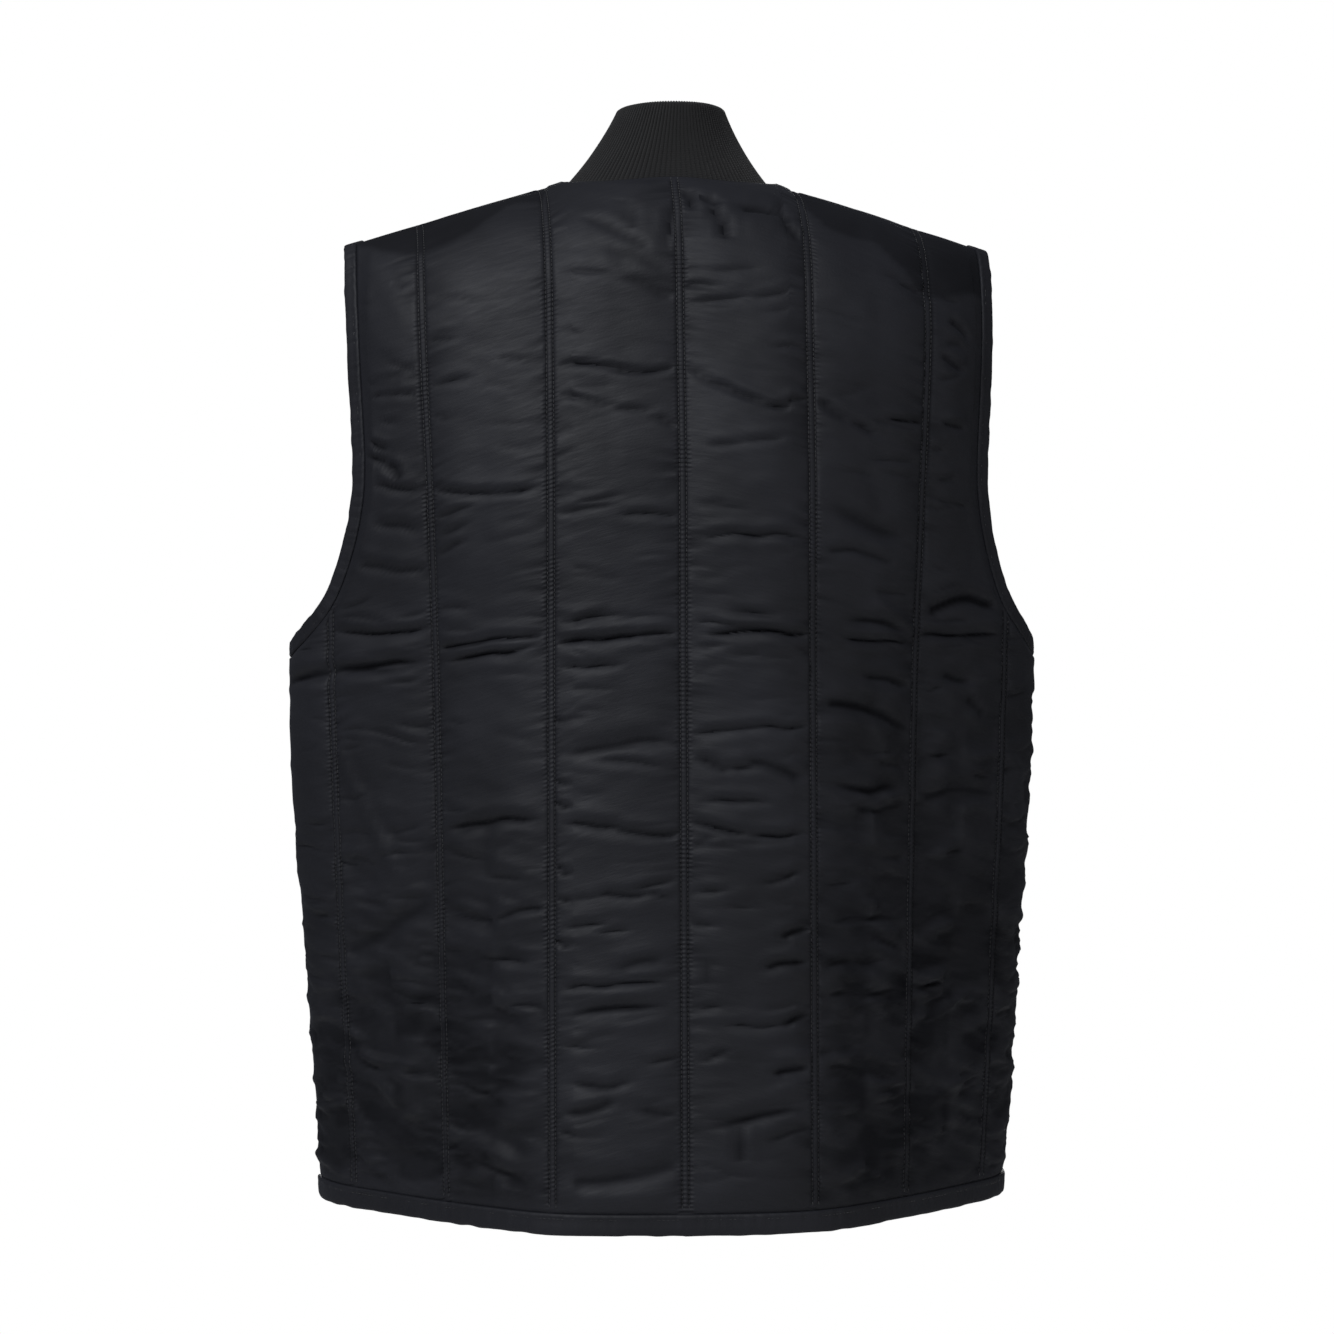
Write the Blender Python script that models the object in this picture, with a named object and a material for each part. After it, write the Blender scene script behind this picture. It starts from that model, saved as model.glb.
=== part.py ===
"""A quilted nylon gilet in the hollow shape it has when worn, built as padded walls.

Lengths are in millimetres and become metres where a mesh is made. The origin is midway between
the two points where the neck meets the shoulders, +X is the wearer's right and +Y the front.

The form is walked along a tape held level round the body: from the centre line outwards the
tape turns by the angles in FORM, channel by channel, until it faces sideways at the side seam.
A place on it has two coordinates: tape, the signed distance from the centre line, and rise, the
distance up from the shoulder ridge, which is 0 on the ridge and negative below it.
"""

import bmesh
import bpy
import numpy as np

MM = 0.001

# Quilting: the pitch of its lines, the wall at a line and the padding between lines, which is
# pressed flatter near the shoulder ridge and fades out towards a panel's edges
PITCH = 88.0
SEAM_WALL = 3.0
THINNEST_WALL = 2.4
PUFF = 6.0
PUFF_POWER = 2.4
RIDGE_PUFF = 0.45
RIDGE_REACH = 70.0
HARD_EDGE = 16.0
SEAM_GAP = 0.3

# Folds: how soon one fades out at its ends, and the low lip on each side of its trough
FOLD_END = 0.16
LIP_SHARE = 0.4
LIP_PLACE = 1.9

# Shoulders and neck
SHOULDER_SLOPE = 0.305
RIDGE_ROUND = 25.0
RIDGE_DROP = 3.0
TURN_WIDTH = 74.0
NECK_HALF = 73.9
LAST_CHANNEL = 3 * PITCH

# Edges
HEM_BACK = -716.0
HEM_SIDE_LIFT = 8.0
HEM_WIDTH = 13.0
ARM_BAND_WIDTH = 10.0
UNDERARM = -319.5

# Collar
COLLAR_TOP_HALF = 36.5
COLLAR_TOP_SHIFT = 3.0
COLLAR_TOP_BACK = -45.0
COLLAR_TOP_FRONT = 58.0
COLLAR_TOP_HEIGHT = 53.0
COLLAR_FRONT_DROP = 62.0
COLLAR_WALL = 4.0
RIB_COUNT = 116
RIB_RAISE = 0.45
FRONT_SLIT = 0.03
COLLAR_SEAT = 1.0
COLLAR_BULGE = 1.2

# Front closing
PLACKET_HALF = 16.4
PLACKET_WALL = 2.4
SNAP_RADIUS = 7.5
SNAP_RISE = 2.8
SNAP_HEIGHTS = (-100.0, -214.0, -328.0, -442.0, -556.0, -664.0)

# The form from the shoulders down: half width of the wall's inside, the side seam's place
# front to back, and the turn of the tape in degrees in each of three channels, back then front
FORM_COLUMNS = ("height", "half_width", "side_y", "back_1", "back_2", "back_3",
                "front_1", "front_2", "front_3")
FORM = np.array([
    (20.0, 258.0, 22.0, 4.0, 13.0, 40.0, 3.0, 12.0, 28.0),
    (-90.0, 258.0, 22.0, 4.0, 14.0, 42.0, 3.0, 12.0, 28.0),
    (-150.0, 258.5, 25.0, 5.0, 20.0, 42.0, 3.0, 14.0, 31.0),
    (-220.0, 258.5, 28.0, 5.0, 27.0, 41.0, 4.0, 16.0, 33.0),
    (-325.0, 259.5, 30.0, 6.0, 33.0, 37.0, 4.0, 16.0, 33.0),
    (-430.0, 257.0, 31.0, 6.0, 36.0, 38.0, 4.0, 17.0, 34.0),
    (-570.0, 247.3, 33.0, 5.0, 39.0, 42.0, 4.0, 19.0, 36.0),
    (-720.0, 237.0, 36.0, 6.0, 42.0, 47.0, 5.0, 22.0, 40.0),
])

# The armhole's open edge from the underarm up to the shoulder tip, as tape and height
ARMHOLE_BACK = np.array([
    (316.0, -318.0), (292.0, -308.0), (271.0, -290.0), (257.0, -264.0), (247.0, -235.0),
    (242.0, -205.0), (241.5, -150.0), (242.5, -48.0),
])
ARMHOLE_FRONT = np.array([
    (281.0, -318.0), (260.0, -306.0), (241.0, -282.0), (226.0, -250.0), (214.0, -215.0),
    (209.0, -180.0), (213.0, -120.0), (228.6, -48.0),
])

# The largest folds, each a trough across a channel: tape and height at its two ends, the bow of
# its middle, its depth and its half width
FOLD_COLUMNS = ("from_tape", "from_height", "to_tape", "to_height", "bow", "depth", "half_width")
BACK_FOLDS = np.array([
    (-300.0, -345.0, -176.0, -334.0, 2.0, 4.5, 9.0),
    (-176.0, -334.0, -90.0, -322.0, 3.0, 6.0, 9.0),
    (-172.0, -348.0, -96.0, -339.0, -3.0, 4.0, 8.0),
    (-88.0, -321.0, -4.0, -316.0, 0.0, 4.5, 7.0),
    (4.0, -315.0, 86.0, -316.0, 2.0, 5.0, 7.0),
    (94.0, -318.0, 172.0, -319.0, -2.0, 5.0, 7.0),
    (180.0, -317.0, 258.0, -317.0, 0.0, 5.5, 8.0),
    (192.0, -292.0, 250.0, -294.0, 6.0, 4.5, 8.0),
    (-84.0, -396.0, -2.0, -388.0, -6.0, 4.5, 8.0),
    (6.0, -384.0, 84.0, -380.0, -3.0, 4.0, 7.0),
    (94.0, -362.0, 172.0, -382.0, 2.0, 5.0, 9.0),
    (182.0, -430.0, 260.0, -428.0, 5.0, 5.5, 10.0),
    (6.0, -444.0, 84.0, -450.0, -5.0, 4.0, 8.0),
    (-86.0, -444.0, -4.0, -452.0, 3.0, 4.5, 8.0),
    (-250.0, -620.0, -184.0, -662.0, -6.0, 5.5, 14.0),
    (-166.0, -638.0, -98.0, -676.0, -8.0, 5.5, 13.0),
    (-82.0, -664.0, -6.0, -668.0, -12.0, 5.0, 13.0),
    (8.0, -650.0, 84.0, -636.0, -4.0, 5.0, 10.0),
    (96.0, -652.0, 168.0, -652.0, -6.0, 5.5, 13.0),
    (186.0, -672.0, 256.0, -636.0, -8.0, 5.5, 14.0),
])
FRONT_FOLDS = np.array([
    (28.0, -330.0, 84.0, -322.0, 3.0, 4.0, 8.0),
    (94.0, -322.0, 172.0, -334.0, -3.0, 5.0, 9.0),
    (182.0, -336.0, 258.0, -326.0, 4.0, 5.0, 9.0),
    (96.0, -436.0, 170.0, -420.0, 5.0, 4.5, 10.0),
    (184.0, -470.0, 256.0, -450.0, -5.0, 4.5, 10.0),
    (30.0, -640.0, 84.0, -664.0, -6.0, 4.5, 12.0),
    (98.0, -668.0, 168.0, -640.0, -8.0, 5.0, 12.0),
    (186.0, -630.0, 254.0, -660.0, -6.0, 5.0, 12.0),
])

BACK_ROWS = 45
FRONT_ROWS = 33
INSIDE_STEP = 3
CHANNEL_STEPS = np.array([0.1, 0.3, 0.5, 0.7, 0.9, 1.0])

FLAT_SAMPLES = 66
SIDE_SAMPLES = 24
GRID_TOP, GRID_BOTTOM, GRID_STEP = 20.0, -740.0, 5.0


def smooth(t):
    """Eases from 0 to 1."""
    t = np.clip(t, 0.0, 1.0)
    return t * t * (3.0 - 2.0 * t)


def form_column(name, height):
    """A column of FORM at each height, averaged over 80 mm so that no row shows as a kink."""
    heights = FORM[::-1, 0]
    values = FORM[::-1, FORM_COLUMNS.index(name)]
    return np.mean([np.interp(height + step, heights, values) for step in np.linspace(-40, 40, 9)], axis=0)


def walk(height, face_name):
    """The level section at a height: tape, sideways and inward distances from the centre line."""
    first, second, third = (np.radians(form_column(f"{face_name}_{i}", height)) for i in (1, 2, 3))
    tape = np.linspace(0.0, LAST_CHANNEL, FLAT_SAMPLES + 1)
    turn = first * smooth(tape / PITCH) + (second - first) * smooth((tape - PITCH) / TURN_WIDTH + 0.5)
    turn += (third - second) * smooth((tape - 2 * PITCH) / TURN_WIDTH + 0.5)
    middle = (turn[1:] + turn[:-1]) / 2
    step = tape[1]
    across = np.concatenate([[0.0], np.cumsum(np.cos(middle)) * step])
    inward = np.concatenate([[0.0], np.cumsum(np.sin(middle)) * step])
    rest = form_column("half_width", height) - across[-1]
    length = rest * (np.pi / 2 - third) / (1.0 - np.sin(third))
    side = third + (np.pi / 2 - third) * (np.arange(SIDE_SAMPLES) + 0.5) / SIDE_SAMPLES
    side_step = length / SIDE_SAMPLES
    across = np.concatenate([across, across[-1] + np.cumsum(np.cos(side)) * side_step])
    across *= form_column("half_width", height) / across[-1]
    inward = np.concatenate([inward, inward[-1] + np.cumsum(np.sin(side)) * side_step])
    tape = np.concatenate([tape, LAST_CHANNEL + np.arange(1, SIDE_SAMPLES + 1) * side_step])
    return tape, across, inward


class Face:
    """The back or the front of the form, as a grid of level sections."""

    def __init__(self, name, sign, cap, neck, armhole, folds, first_line):
        self.name, self.sign, self.cap, self.neck = name, sign, cap, neck
        self.armhole, self.folds, self.first_line = armhole, folds, first_line
        self.heights = np.arange(GRID_BOTTOM, GRID_TOP + 1.0, GRID_STEP)
        sections = [walk(height, name) for height in self.heights]
        self.tape = np.array([section[0] for section in sections])
        self.across = np.array([section[1] for section in sections])
        inward = np.array([section[2] for section in sections])
        side_y = form_column("side_y", self.heights)
        self.depth = side_y[:, None] + sign * (inward[:, -1:] - inward)

    def side(self, height):
        """The tape at the side seam."""
        return np.interp(height, self.heights, self.tape[:, -1])

    def ridge(self, tape):
        """The height of the shoulder ridge: a slope that is rounded over at the neck."""
        x = np.interp(np.abs(tape), self.tape[-1], self.across[-1])
        return SHOULDER_SLOPE * (np.hypot(NECK_HALF, RIDGE_ROUND) - np.hypot(x, RIDGE_ROUND)) - RIDGE_DROP

    def height(self, tape, rise):
        """Height of a place: round the shoulder's quarter turn first, then straight down."""
        turn = np.clip(-rise / self.cap, 0.0, np.pi / 2)
        below = np.minimum(rise + self.cap * np.pi / 2, 0.0)
        return self.ridge(tape) - self.cap * (1.0 - np.cos(turn)) + below

    def rise(self, tape, height):
        """The rise of a place from its height."""
        below = self.ridge(tape) - height
        turn = np.arccos(np.clip(1.0 - below / self.cap, 0.0, 1.0))
        return -self.cap * turn - np.maximum(below - self.cap, 0.0)

    def sample(self, grid, tape, height):
        """Reads a grid between its samples at each tape and height."""
        row = np.clip((height - GRID_BOTTOM) / GRID_STEP, 0, len(self.heights) - 1.001)
        lower = row.astype(int)
        flat = tape / LAST_CHANNEL * FLAT_SAMPLES
        side = FLAT_SAMPLES + SIDE_SAMPLES * (tape - LAST_CHANNEL) / (self.side(height) - LAST_CHANNEL)
        place = np.clip(np.where(tape < LAST_CHANNEL, flat, side), 0, FLAT_SAMPLES + SIDE_SAMPLES - 0.001)
        left = place.astype(int)
        up, over = row - lower, place - left
        low = grid[lower, left] * (1 - over) + grid[lower, left + 1] * over
        high = grid[lower + 1, left] * (1 - over) + grid[lower + 1, left + 1] * over
        return low * (1 - up) + high * up

    def point(self, tape, rise):
        """The wall's inside at a place."""
        height = self.height(tape, rise)
        x = np.sign(tape) * self.sample(self.across, np.abs(tape), height)
        y = self.sample(self.depth, np.abs(tape), height)
        y = y * np.sin(np.clip(-rise / self.cap, 0.0, np.pi / 2))
        return np.stack([x, y, height], axis=-1)

    def normal(self, tape, rise):
        """The outward direction, level across the side seam and the shoulder seam."""
        limit = self.side(self.height(tape, rise))
        near = np.clip(tape, -limit + 0.6, limit - 0.6)
        low = np.minimum(rise, -0.6)
        along = self.point(near + 0.5, low) - self.point(near - 0.5, low)
        up = self.point(near, low + 0.5) - self.point(near, low - 0.5)
        out = self.sign * np.cross(up, along)
        seam = (np.abs(tape) > limit - 1.0) | (rise > -1.0)
        out[..., 1] = np.where(seam, 0.0, out[..., 1])
        return out / np.linalg.norm(out, axis=-1, keepdims=True)

    def neck_rise(self, tape):
        """The rise of the neck seam, an oval seen from above, and 0 beyond the neck."""
        over = np.sqrt(np.clip(1.0 - (tape / NECK_HALF) ** 2, 0.0, 1.0)) * self.neck
        full = np.abs(self.sample(self.depth, np.abs(tape), np.zeros_like(tape)))
        return -self.cap * np.arcsin(np.clip(over / full, 0.0, 1.0))

    def hem_rise(self, tape):
        """The rise of the panel's lower edge, above the hem band."""
        width = self.side(np.full_like(tape, HEM_BACK))
        height = HEM_BACK + HEM_SIDE_LIFT * (np.abs(tape) / width) ** 2
        if self.sign > 0:
            height = np.full_like(tape, HEM_BACK + HEM_SIDE_LIFT)
        return self.rise(tape, height) + HEM_WIDTH + SEAM_GAP

    def wall(self, tape, rise, edge):
        """The wall's thickness: puffed between quilting lines, thin at edges, troughed at folds."""
        distance = np.abs(tape)
        first = np.clip((distance - self.first_line) / (PITCH - self.first_line), 0.0, 1.0)
        place = np.where(distance < PITCH, first, (distance / PITCH) % 1.0)
        pressed = RIDGE_PUFF + (1.0 - RIDGE_PUFF) * smooth(-rise / RIDGE_REACH)
        puff = PUFF * (1.0 - np.abs(2.0 * place - 1.0) ** PUFF_POWER) * edge * pressed
        height = self.height(tape, rise)
        trough = np.zeros_like(tape)
        for fold in self.folds:
            named = dict(zip(FOLD_COLUMNS, fold))
            run = (tape - named["from_tape"]) / (named["to_tape"] - named["from_tape"])
            line = named["from_height"] + (named["to_height"] - named["from_height"]) * run
            line = line + named["bow"] * np.sin(np.pi * np.clip(run, 0.0, 1.0))
            across = (height - line) / named["half_width"]
            ends = smooth(np.minimum(run, 1.0 - run) / FOLD_END)
            lip = LIP_SHARE * np.exp(-((np.abs(across) - LIP_PLACE) ** 2) * 2.0)
            trough += named["depth"] * ends * (np.exp(-across**2) - lip)
        return np.maximum(SEAM_WALL + puff - trough * edge, THINNEST_WALL)


BACK = Face("back", -1.0, 85.0, 54.0, ARMHOLE_BACK, BACK_FOLDS, 0.0)
FRONT = Face("front", 1.0, 125.0, 84.0, ARMHOLE_FRONT, FRONT_FOLDS, PLACKET_HALF)


def spline(points, count):
    """A smooth curve through points, and evenly many places along it."""
    ends = np.vstack([2 * points[0] - points[1], points, 2 * points[-1] - points[-2]])
    t = np.linspace(0.0, 1.0, 13)[:-1, None]
    runs = []
    for a, b, c, d in zip(ends[:-3], ends[1:-2], ends[2:-1], ends[3:]):
        bend = (2 * a - 5 * b + 4 * c - d) * t**2 + (3 * b - a - 3 * c + d) * t**3
        runs.append(0.5 * (2 * b + (c - a) * t + bend))
    curve = np.vstack(runs + [points[-1:]])
    length = np.concatenate([[0.0], np.cumsum(np.linalg.norm(np.diff(curve, axis=0), axis=1))])
    even = np.linspace(0.0, length[-1], count)
    return np.stack([np.interp(even, length, curve[:, i]) for i in range(2)], axis=1)


def armhole_edge(face):
    """Tape and rise along the panel's armhole edge, and the direction from it to the open edge."""
    start = (face.side(UNDERARM), UNDERARM)
    table = np.vstack([start, face.armhole])
    places = np.stack([table[:, 0], face.rise(table[:, 0], table[:, 1])], axis=1)
    places[-1, 1] = 0.0
    curve = spline(places, 200)
    ahead = np.gradient(curve, axis=0)
    ahead /= np.linalg.norm(ahead, axis=1, keepdims=True)
    # Straight up at the underarm and straight out at the shoulder tip
    out = np.stack([ahead[:, 1], -ahead[:, 0]], axis=1)
    blend = np.linspace(0.0, 1.0, 200)[:, None]
    out = out + (np.array([0.0, 1.0]) - out) * np.clip(1 - blend / 0.06, 0, 1)
    out = out + (np.array([1.0, 0.0]) - out) * np.clip(1 - (1 - blend) / 0.1, 0, 1)
    out /= np.linalg.norm(out, axis=1, keepdims=True)
    return curve - out * (ARM_BAND_WIDTH + SEAM_GAP), out


def half_columns():
    """Tape of the columns from the centre line to the third quilting line."""
    neck = NECK_HALF * np.sin(np.linspace(0.0, np.pi / 2, 8))
    first = [(NECK_HALF + PITCH) / 2, PITCH]
    return np.concatenate([neck, first, PITCH * (1 + CHANNEL_STEPS), PITCH * (2 + CHANNEL_STEPS)])


def half_panel(face, row_count):
    """Grid of tape and rise from the centre line to the side and armhole, hem to top.

    Columns keep their tape up to the second quilting line. Past it they share out what is left
    before the side seam, and above the underarm before the armhole.
    """
    t = np.linspace(0.0, 1.0, row_count + 1)
    columns = half_columns()
    centre = columns[columns <= 2 * PITCH + 0.01]
    outer = columns[columns > 2 * PITCH + 0.01]
    bottom, top = face.hem_rise(centre), face.neck_rise(centre)
    centre_rise = bottom + (top - bottom) * t[:, None]
    centre_tape = np.broadcast_to(centre, centre_rise.shape)

    edge, out = armhole_edge(face)
    under_rise = edge[0, 1]
    under_height = face.height(edge[:1, 0], edge[:1, 1])
    level = face.rise(np.array([2 * PITCH]), under_height)
    turn = int(np.argmin(np.abs(centre_rise[:, -1] - level)))
    side_hem = face.side(HEM_BACK)
    hem_corner = face.hem_rise(np.array([side_hem]))[0]
    low = np.linspace(0.0, 1.0, turn + 1)
    side_rise = hem_corner + (under_rise - hem_corner) * low
    probe = face.height(np.full_like(side_rise, side_hem), side_rise)
    side_tape = face.side(probe) - SEAM_GAP / 2
    along = face.point(edge[:, 0], edge[:, 1])
    length = np.concatenate([[0.0], np.cumsum(np.linalg.norm(np.diff(along, axis=0), axis=1))])
    even = np.linspace(0.0, length[-1], row_count - turn + 1)[1:]
    arm = np.stack([np.interp(even, length, edge[:, i]) for i in range(2)], axis=1)
    arm_out = np.stack([np.interp(even, length, out[:, i]) for i in range(2)], axis=1)
    border_tape = np.concatenate([side_tape, arm[:, 0]])
    border_rise = np.concatenate([side_rise, arm[:, 1]])

    last = LAST_CHANNEL + (border_tape[: turn + 1, None] - LAST_CHANNEL) * CHANNEL_STEPS
    below = np.hstack([np.broadcast_to(outer, (turn + 1, len(outer))), last])
    share = (below - 2 * PITCH) / (border_tape[: turn + 1, None] - 2 * PITCH)
    shares = np.vstack([share, np.repeat(share[-1:], row_count - turn, axis=0)])
    outer_tape = 2 * PITCH + shares * (border_tape[:, None] - 2 * PITCH)
    outer_rise = centre_rise[:, -1:] + shares * (border_rise[:, None] - centre_rise[:, -1:])
    hem_fix = face.hem_rise(outer_tape[0]) - outer_rise[0]
    outer_rise = outer_rise + hem_fix * (1.0 - t[:, None]) ** 4
    tape = np.hstack([centre_tape, outer_tape])
    rise = np.hstack([centre_rise, outer_rise])
    band = {"tape": border_tape[turn:], "rise": border_rise[turn:], "out": np.vstack([out[:1], arm_out])}
    return tape, rise, band


def lengths(points, axis):
    """The distance run along a grid's rows or columns, from 0 at the first."""
    steps = np.linalg.norm(np.diff(points, axis=axis), axis=2)
    start = np.zeros_like(np.take(steps, [0], axis=axis))
    return np.concatenate([start, np.cumsum(steps, axis=axis)], axis=axis)


def edge_fade(points, open_centre):
    """How far each grid point is from the panel's edges, eased from 0 at the edge to 1."""
    rows, columns = lengths(points, 0), lengths(points, 1)
    nearest = np.minimum(np.minimum(rows, rows[-1:] - rows), columns[:, -1:] - columns)
    if open_centre:
        nearest = np.minimum(nearest, columns)
    return smooth(nearest / HARD_EDGE)


def panel_layers(face, tape, rise):
    """The outer and inner points of a panel's half, from the grid of tape and rise."""
    inside = face.point(tape, rise)
    out = face.normal(tape, rise)
    fade = edge_fade(inside, open_centre=face.sign > 0)
    outside = inside + out * face.wall(tape, rise, fade)[..., None]
    return outside, inside


def part_shoulders(layer, face):
    """Moves the shoulder edge half a seam's gap back from the panel that it meets."""
    layer = layer.copy()
    layer[-1, :, 1] += face.sign * SEAM_GAP / 2
    return layer


def add_object(name, points, faces, material):
    """Makes a named object from points in millimetres, its faces turned outwards."""
    mesh = bpy.data.meshes.new(name)
    mesh.from_pydata((np.asarray(points) * MM).tolist(), [], faces)
    made = bmesh.new()
    made.from_mesh(mesh)
    bmesh.ops.delete(made, geom=[point for point in made.verts if not point.link_faces], context="VERTS")
    bmesh.ops.recalc_face_normals(made, faces=made.faces)
    if made.calc_volume(signed=True) < 0:
        bmesh.ops.reverse_faces(made, faces=made.faces)
    made.to_mesh(mesh)
    made.free()
    mesh.materials.append(material)
    mesh.shade_smooth()
    mesh.set_sharp_from_angle(angle=np.radians(50))
    thing = bpy.data.objects.new(name, mesh)
    bpy.context.scene.collection.objects.link(thing)
    return thing


def quads(index):
    """The four-sided faces of a grid of point numbers."""
    corners = (index[:-1, :-1], index[:-1, 1:], index[1:, 1:], index[1:, :-1])
    return np.stack(corners, axis=-1).reshape(-1, 4).tolist()


def border(index):
    """The point numbers round a grid's edge, once round."""
    return np.concatenate([index[0, :-1], index[:-1, -1], index[-1, :0:-1], index[:0:-1, 0]])


def plain_side(index, step):
    """A grid's faces at every step, which still use each point on the grid's edge."""
    rows, columns = index.shape
    faces = []
    for low in range(0, rows - 1, step):
        for left in range(0, columns - 1, step):
            high, right = low + step, left + step
            bottom = index[low, left : right + 1 : 1 if low == 0 else step]
            top = index[high, left : right + 1 : 1 if high == rows - 1 else step]
            near = index[low : high + 1 : 1 if left == 0 else step, left]
            far = index[low : high + 1 : 1 if right == columns - 1 else step, right]
            faces.append(np.concatenate([bottom[:-1], far[:-1], top[:0:-1], near[:0:-1]])[::-1].tolist())
    return faces


def add_wall(name, outer, inner, step, material):
    """A closed wall: a fine outer grid, a plain inner one at every step, and a rim between them."""
    rows, columns = outer.shape[:2]
    index = np.arange(rows * columns).reshape(rows, columns)
    inside = index + rows * columns
    faces = quads(index) + plain_side(inside, step)
    around, back = border(index), border(inside)
    faces += np.stack([around, back, np.roll(back, -1), np.roll(around, -1)], axis=1).tolist()
    points = np.vstack([outer.reshape(-1, 3), inner.reshape(-1, 3)])
    return add_object(name, points, faces, material)


def add_band(name, sections, closed, material):
    """A solid strip: sections is one closed profile for each station along it."""
    stations, corners = sections.shape[:2]
    index = np.arange(stations * corners).reshape(stations, corners)
    faces = []
    for i in range(stations if closed else stations - 1):
        here, there = index[i], index[(i + 1) % stations]
        faces += [[here[j], here[(j + 1) % corners], there[(j + 1) % corners], there[j]] for j in range(corners)]
    if not closed:
        faces += [index[0].tolist(), index[-1, ::-1].tolist()]
    return add_object(name, sections.reshape(-1, 3), faces, material)


def band_profile(width, low, high):
    """Corners of a folded band: distance from the seam and height above the wall's inside."""
    seam = SEAM_GAP + 0.2
    return ((seam, low), (seam, high - 0.8), (width * 0.5, high), (width, high - 0.6),
            (width + SEAM_GAP, (low + high) / 2), (width, low + 0.2))


def band_sections(face, tape, rise, out, profile, mirror=1.0):
    """The band's profile at each place on a panel's edge, laid out along the surface."""
    sections = []
    for width, lift in profile:
        limit = face.side(face.height(tape, rise))
        place = np.minimum(tape + out[:, 0] * width, limit)
        level = np.minimum(rise + out[:, 1] * width, 0.0)
        sections.append(face.point(place, level) + face.normal(place, level) * lift)
    made = np.stack(sections, axis=1)
    made[..., 0] *= mirror
    return made


def material(name, colour, roughness, metallic=0.0):
    made = bpy.data.materials.new(name)
    made.use_nodes = True
    shader = made.node_tree.nodes["Principled BSDF"]
    shader.inputs["Base Color"].default_value = (*colour, 1.0)
    shader.inputs["Roughness"].default_value = roughness
    shader.inputs["Metallic"].default_value = metallic
    return made


def add_panels(nylon):
    """The back in one piece and the two fronts, all quilted at the same pitch."""
    tape, rise, back_band = half_panel(BACK, BACK_ROWS)
    outer, inner = panel_layers(BACK, tape, rise)
    outer_left, inner_left = panel_layers(BACK, -tape, rise)
    outer = np.hstack([outer_left[:, :0:-1], outer])
    inner = np.hstack([inner_left[:, :0:-1], inner])
    add_wall("back_panel", part_shoulders(outer, BACK), part_shoulders(inner, BACK), INSIDE_STEP, nylon)

    tape, rise, front_band = half_panel(FRONT, FRONT_ROWS)
    outer, inner = panel_layers(FRONT, tape, rise)
    fronts = {}
    for name, mirror in (("front_right", 1.0), ("front_left", -1.0)):
        layers = []
        for layer in (outer, inner):
            layer = part_shoulders(layer, FRONT)
            layer[:, 0, 0] = SEAM_GAP / 2
            layer[..., 0] *= mirror
            layers.append(layer)
        add_wall(name, layers[0], layers[1], INSIDE_STEP, nylon)
        fronts[name] = layers[0]
    return back_band, front_band, fronts


def add_armhole_bands(back_band, front_band, nylon):
    """A folded strip round each armhole, from the underarm up the back and down the front."""
    profile = band_profile(ARM_BAND_WIDTH, -0.6, 4.2)
    for name, mirror in (("armhole_band_right", 1.0), ("armhole_band_left", -1.0)):
        back = band_sections(BACK, back_band["tape"], back_band["rise"], back_band["out"], profile, mirror)
        front = band_sections(FRONT, front_band["tape"], front_band["rise"], front_band["out"], profile, mirror)
        ring = np.concatenate([back, front[-2:0:-1]])
        add_band(name, ring, True, nylon)


def add_hem_band(nylon):
    """A folded strip along the lower edge, from one front edge round the back to the other."""
    profile = band_profile(HEM_WIDTH, -0.8, 4.8)
    strips = []
    for face in (BACK, FRONT):
        last = LAST_CHANNEL + (face.side(HEM_BACK) - LAST_CHANNEL) * CHANNEL_STEPS
        tape = np.concatenate([half_columns(), last])
        rise = face.hem_rise(tape)
        down = np.tile([0.0, -1.0], (len(tape), 1))
        strips.append(band_sections(face, tape, rise, down, profile))
    back, front = strips
    front = front[:-1].copy()
    front[0, :, 0] += SEAM_GAP
    mirrored = np.array([-1.0, 1.0, 1.0])
    path = np.concatenate([front, back[::-1], back[1:] * mirrored, front[::-1] * mirrored])
    add_band("hem_band", path, False, nylon)


def collar_ring():
    """The neck seam's points from the right front edge round the back to the left one, and each
    one's sideways and forward share of a unit circle."""
    angle = np.linspace(np.pi - FRONT_SLIT, FRONT_SLIT - np.pi, RIB_COUNT * 2 + 1)
    side, ahead = np.sin(angle), -np.cos(angle)
    points = np.empty((len(angle), 3))
    for face in (BACK, FRONT):
        chosen = (ahead > 0) == (face.sign > 0)
        tape = NECK_HALF * side[chosen]
        points[chosen] = face.point(tape, face.neck_rise(tape))
    return points, side, ahead


def add_collar(rib):
    """A ribbed standing collar: wide at the seam, drawn in at the top, lower at the throat."""
    base, side, ahead = collar_ring()
    inward = np.stack([-side, -ahead, np.zeros_like(side)], axis=1)
    base = base + inward * COLLAR_SEAT
    base[:, 2] -= COLLAR_SEAT
    middle = (COLLAR_TOP_FRONT + COLLAR_TOP_BACK) / 2
    reach = (COLLAR_TOP_FRONT - COLLAR_TOP_BACK) / 2
    height = COLLAR_TOP_HEIGHT - COLLAR_FRONT_DROP * smooth((ahead + 0.1) / 1.1)
    top = np.stack([COLLAR_TOP_SHIFT + COLLAR_TOP_HALF * side, middle + reach * ahead, height], axis=1)
    rows = (0.0, 0.15, 1.0)
    ribs = np.where(np.arange(len(side)) % 2 == 0, RIB_RAISE, -RIB_RAISE)
    outer, inner = [], []
    for row in rows:
        line = base * (1 - row) + top * row
        raised = line - inward * (ribs * (row > 0) + COLLAR_BULGE * np.sin(np.pi * row))[:, None]
        outer.append(raised)
        inner.append(line + inward * COLLAR_WALL)
    outer, inner = np.array(outer), np.array(inner)
    add_collar_wall(outer, inner, rib)


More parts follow.
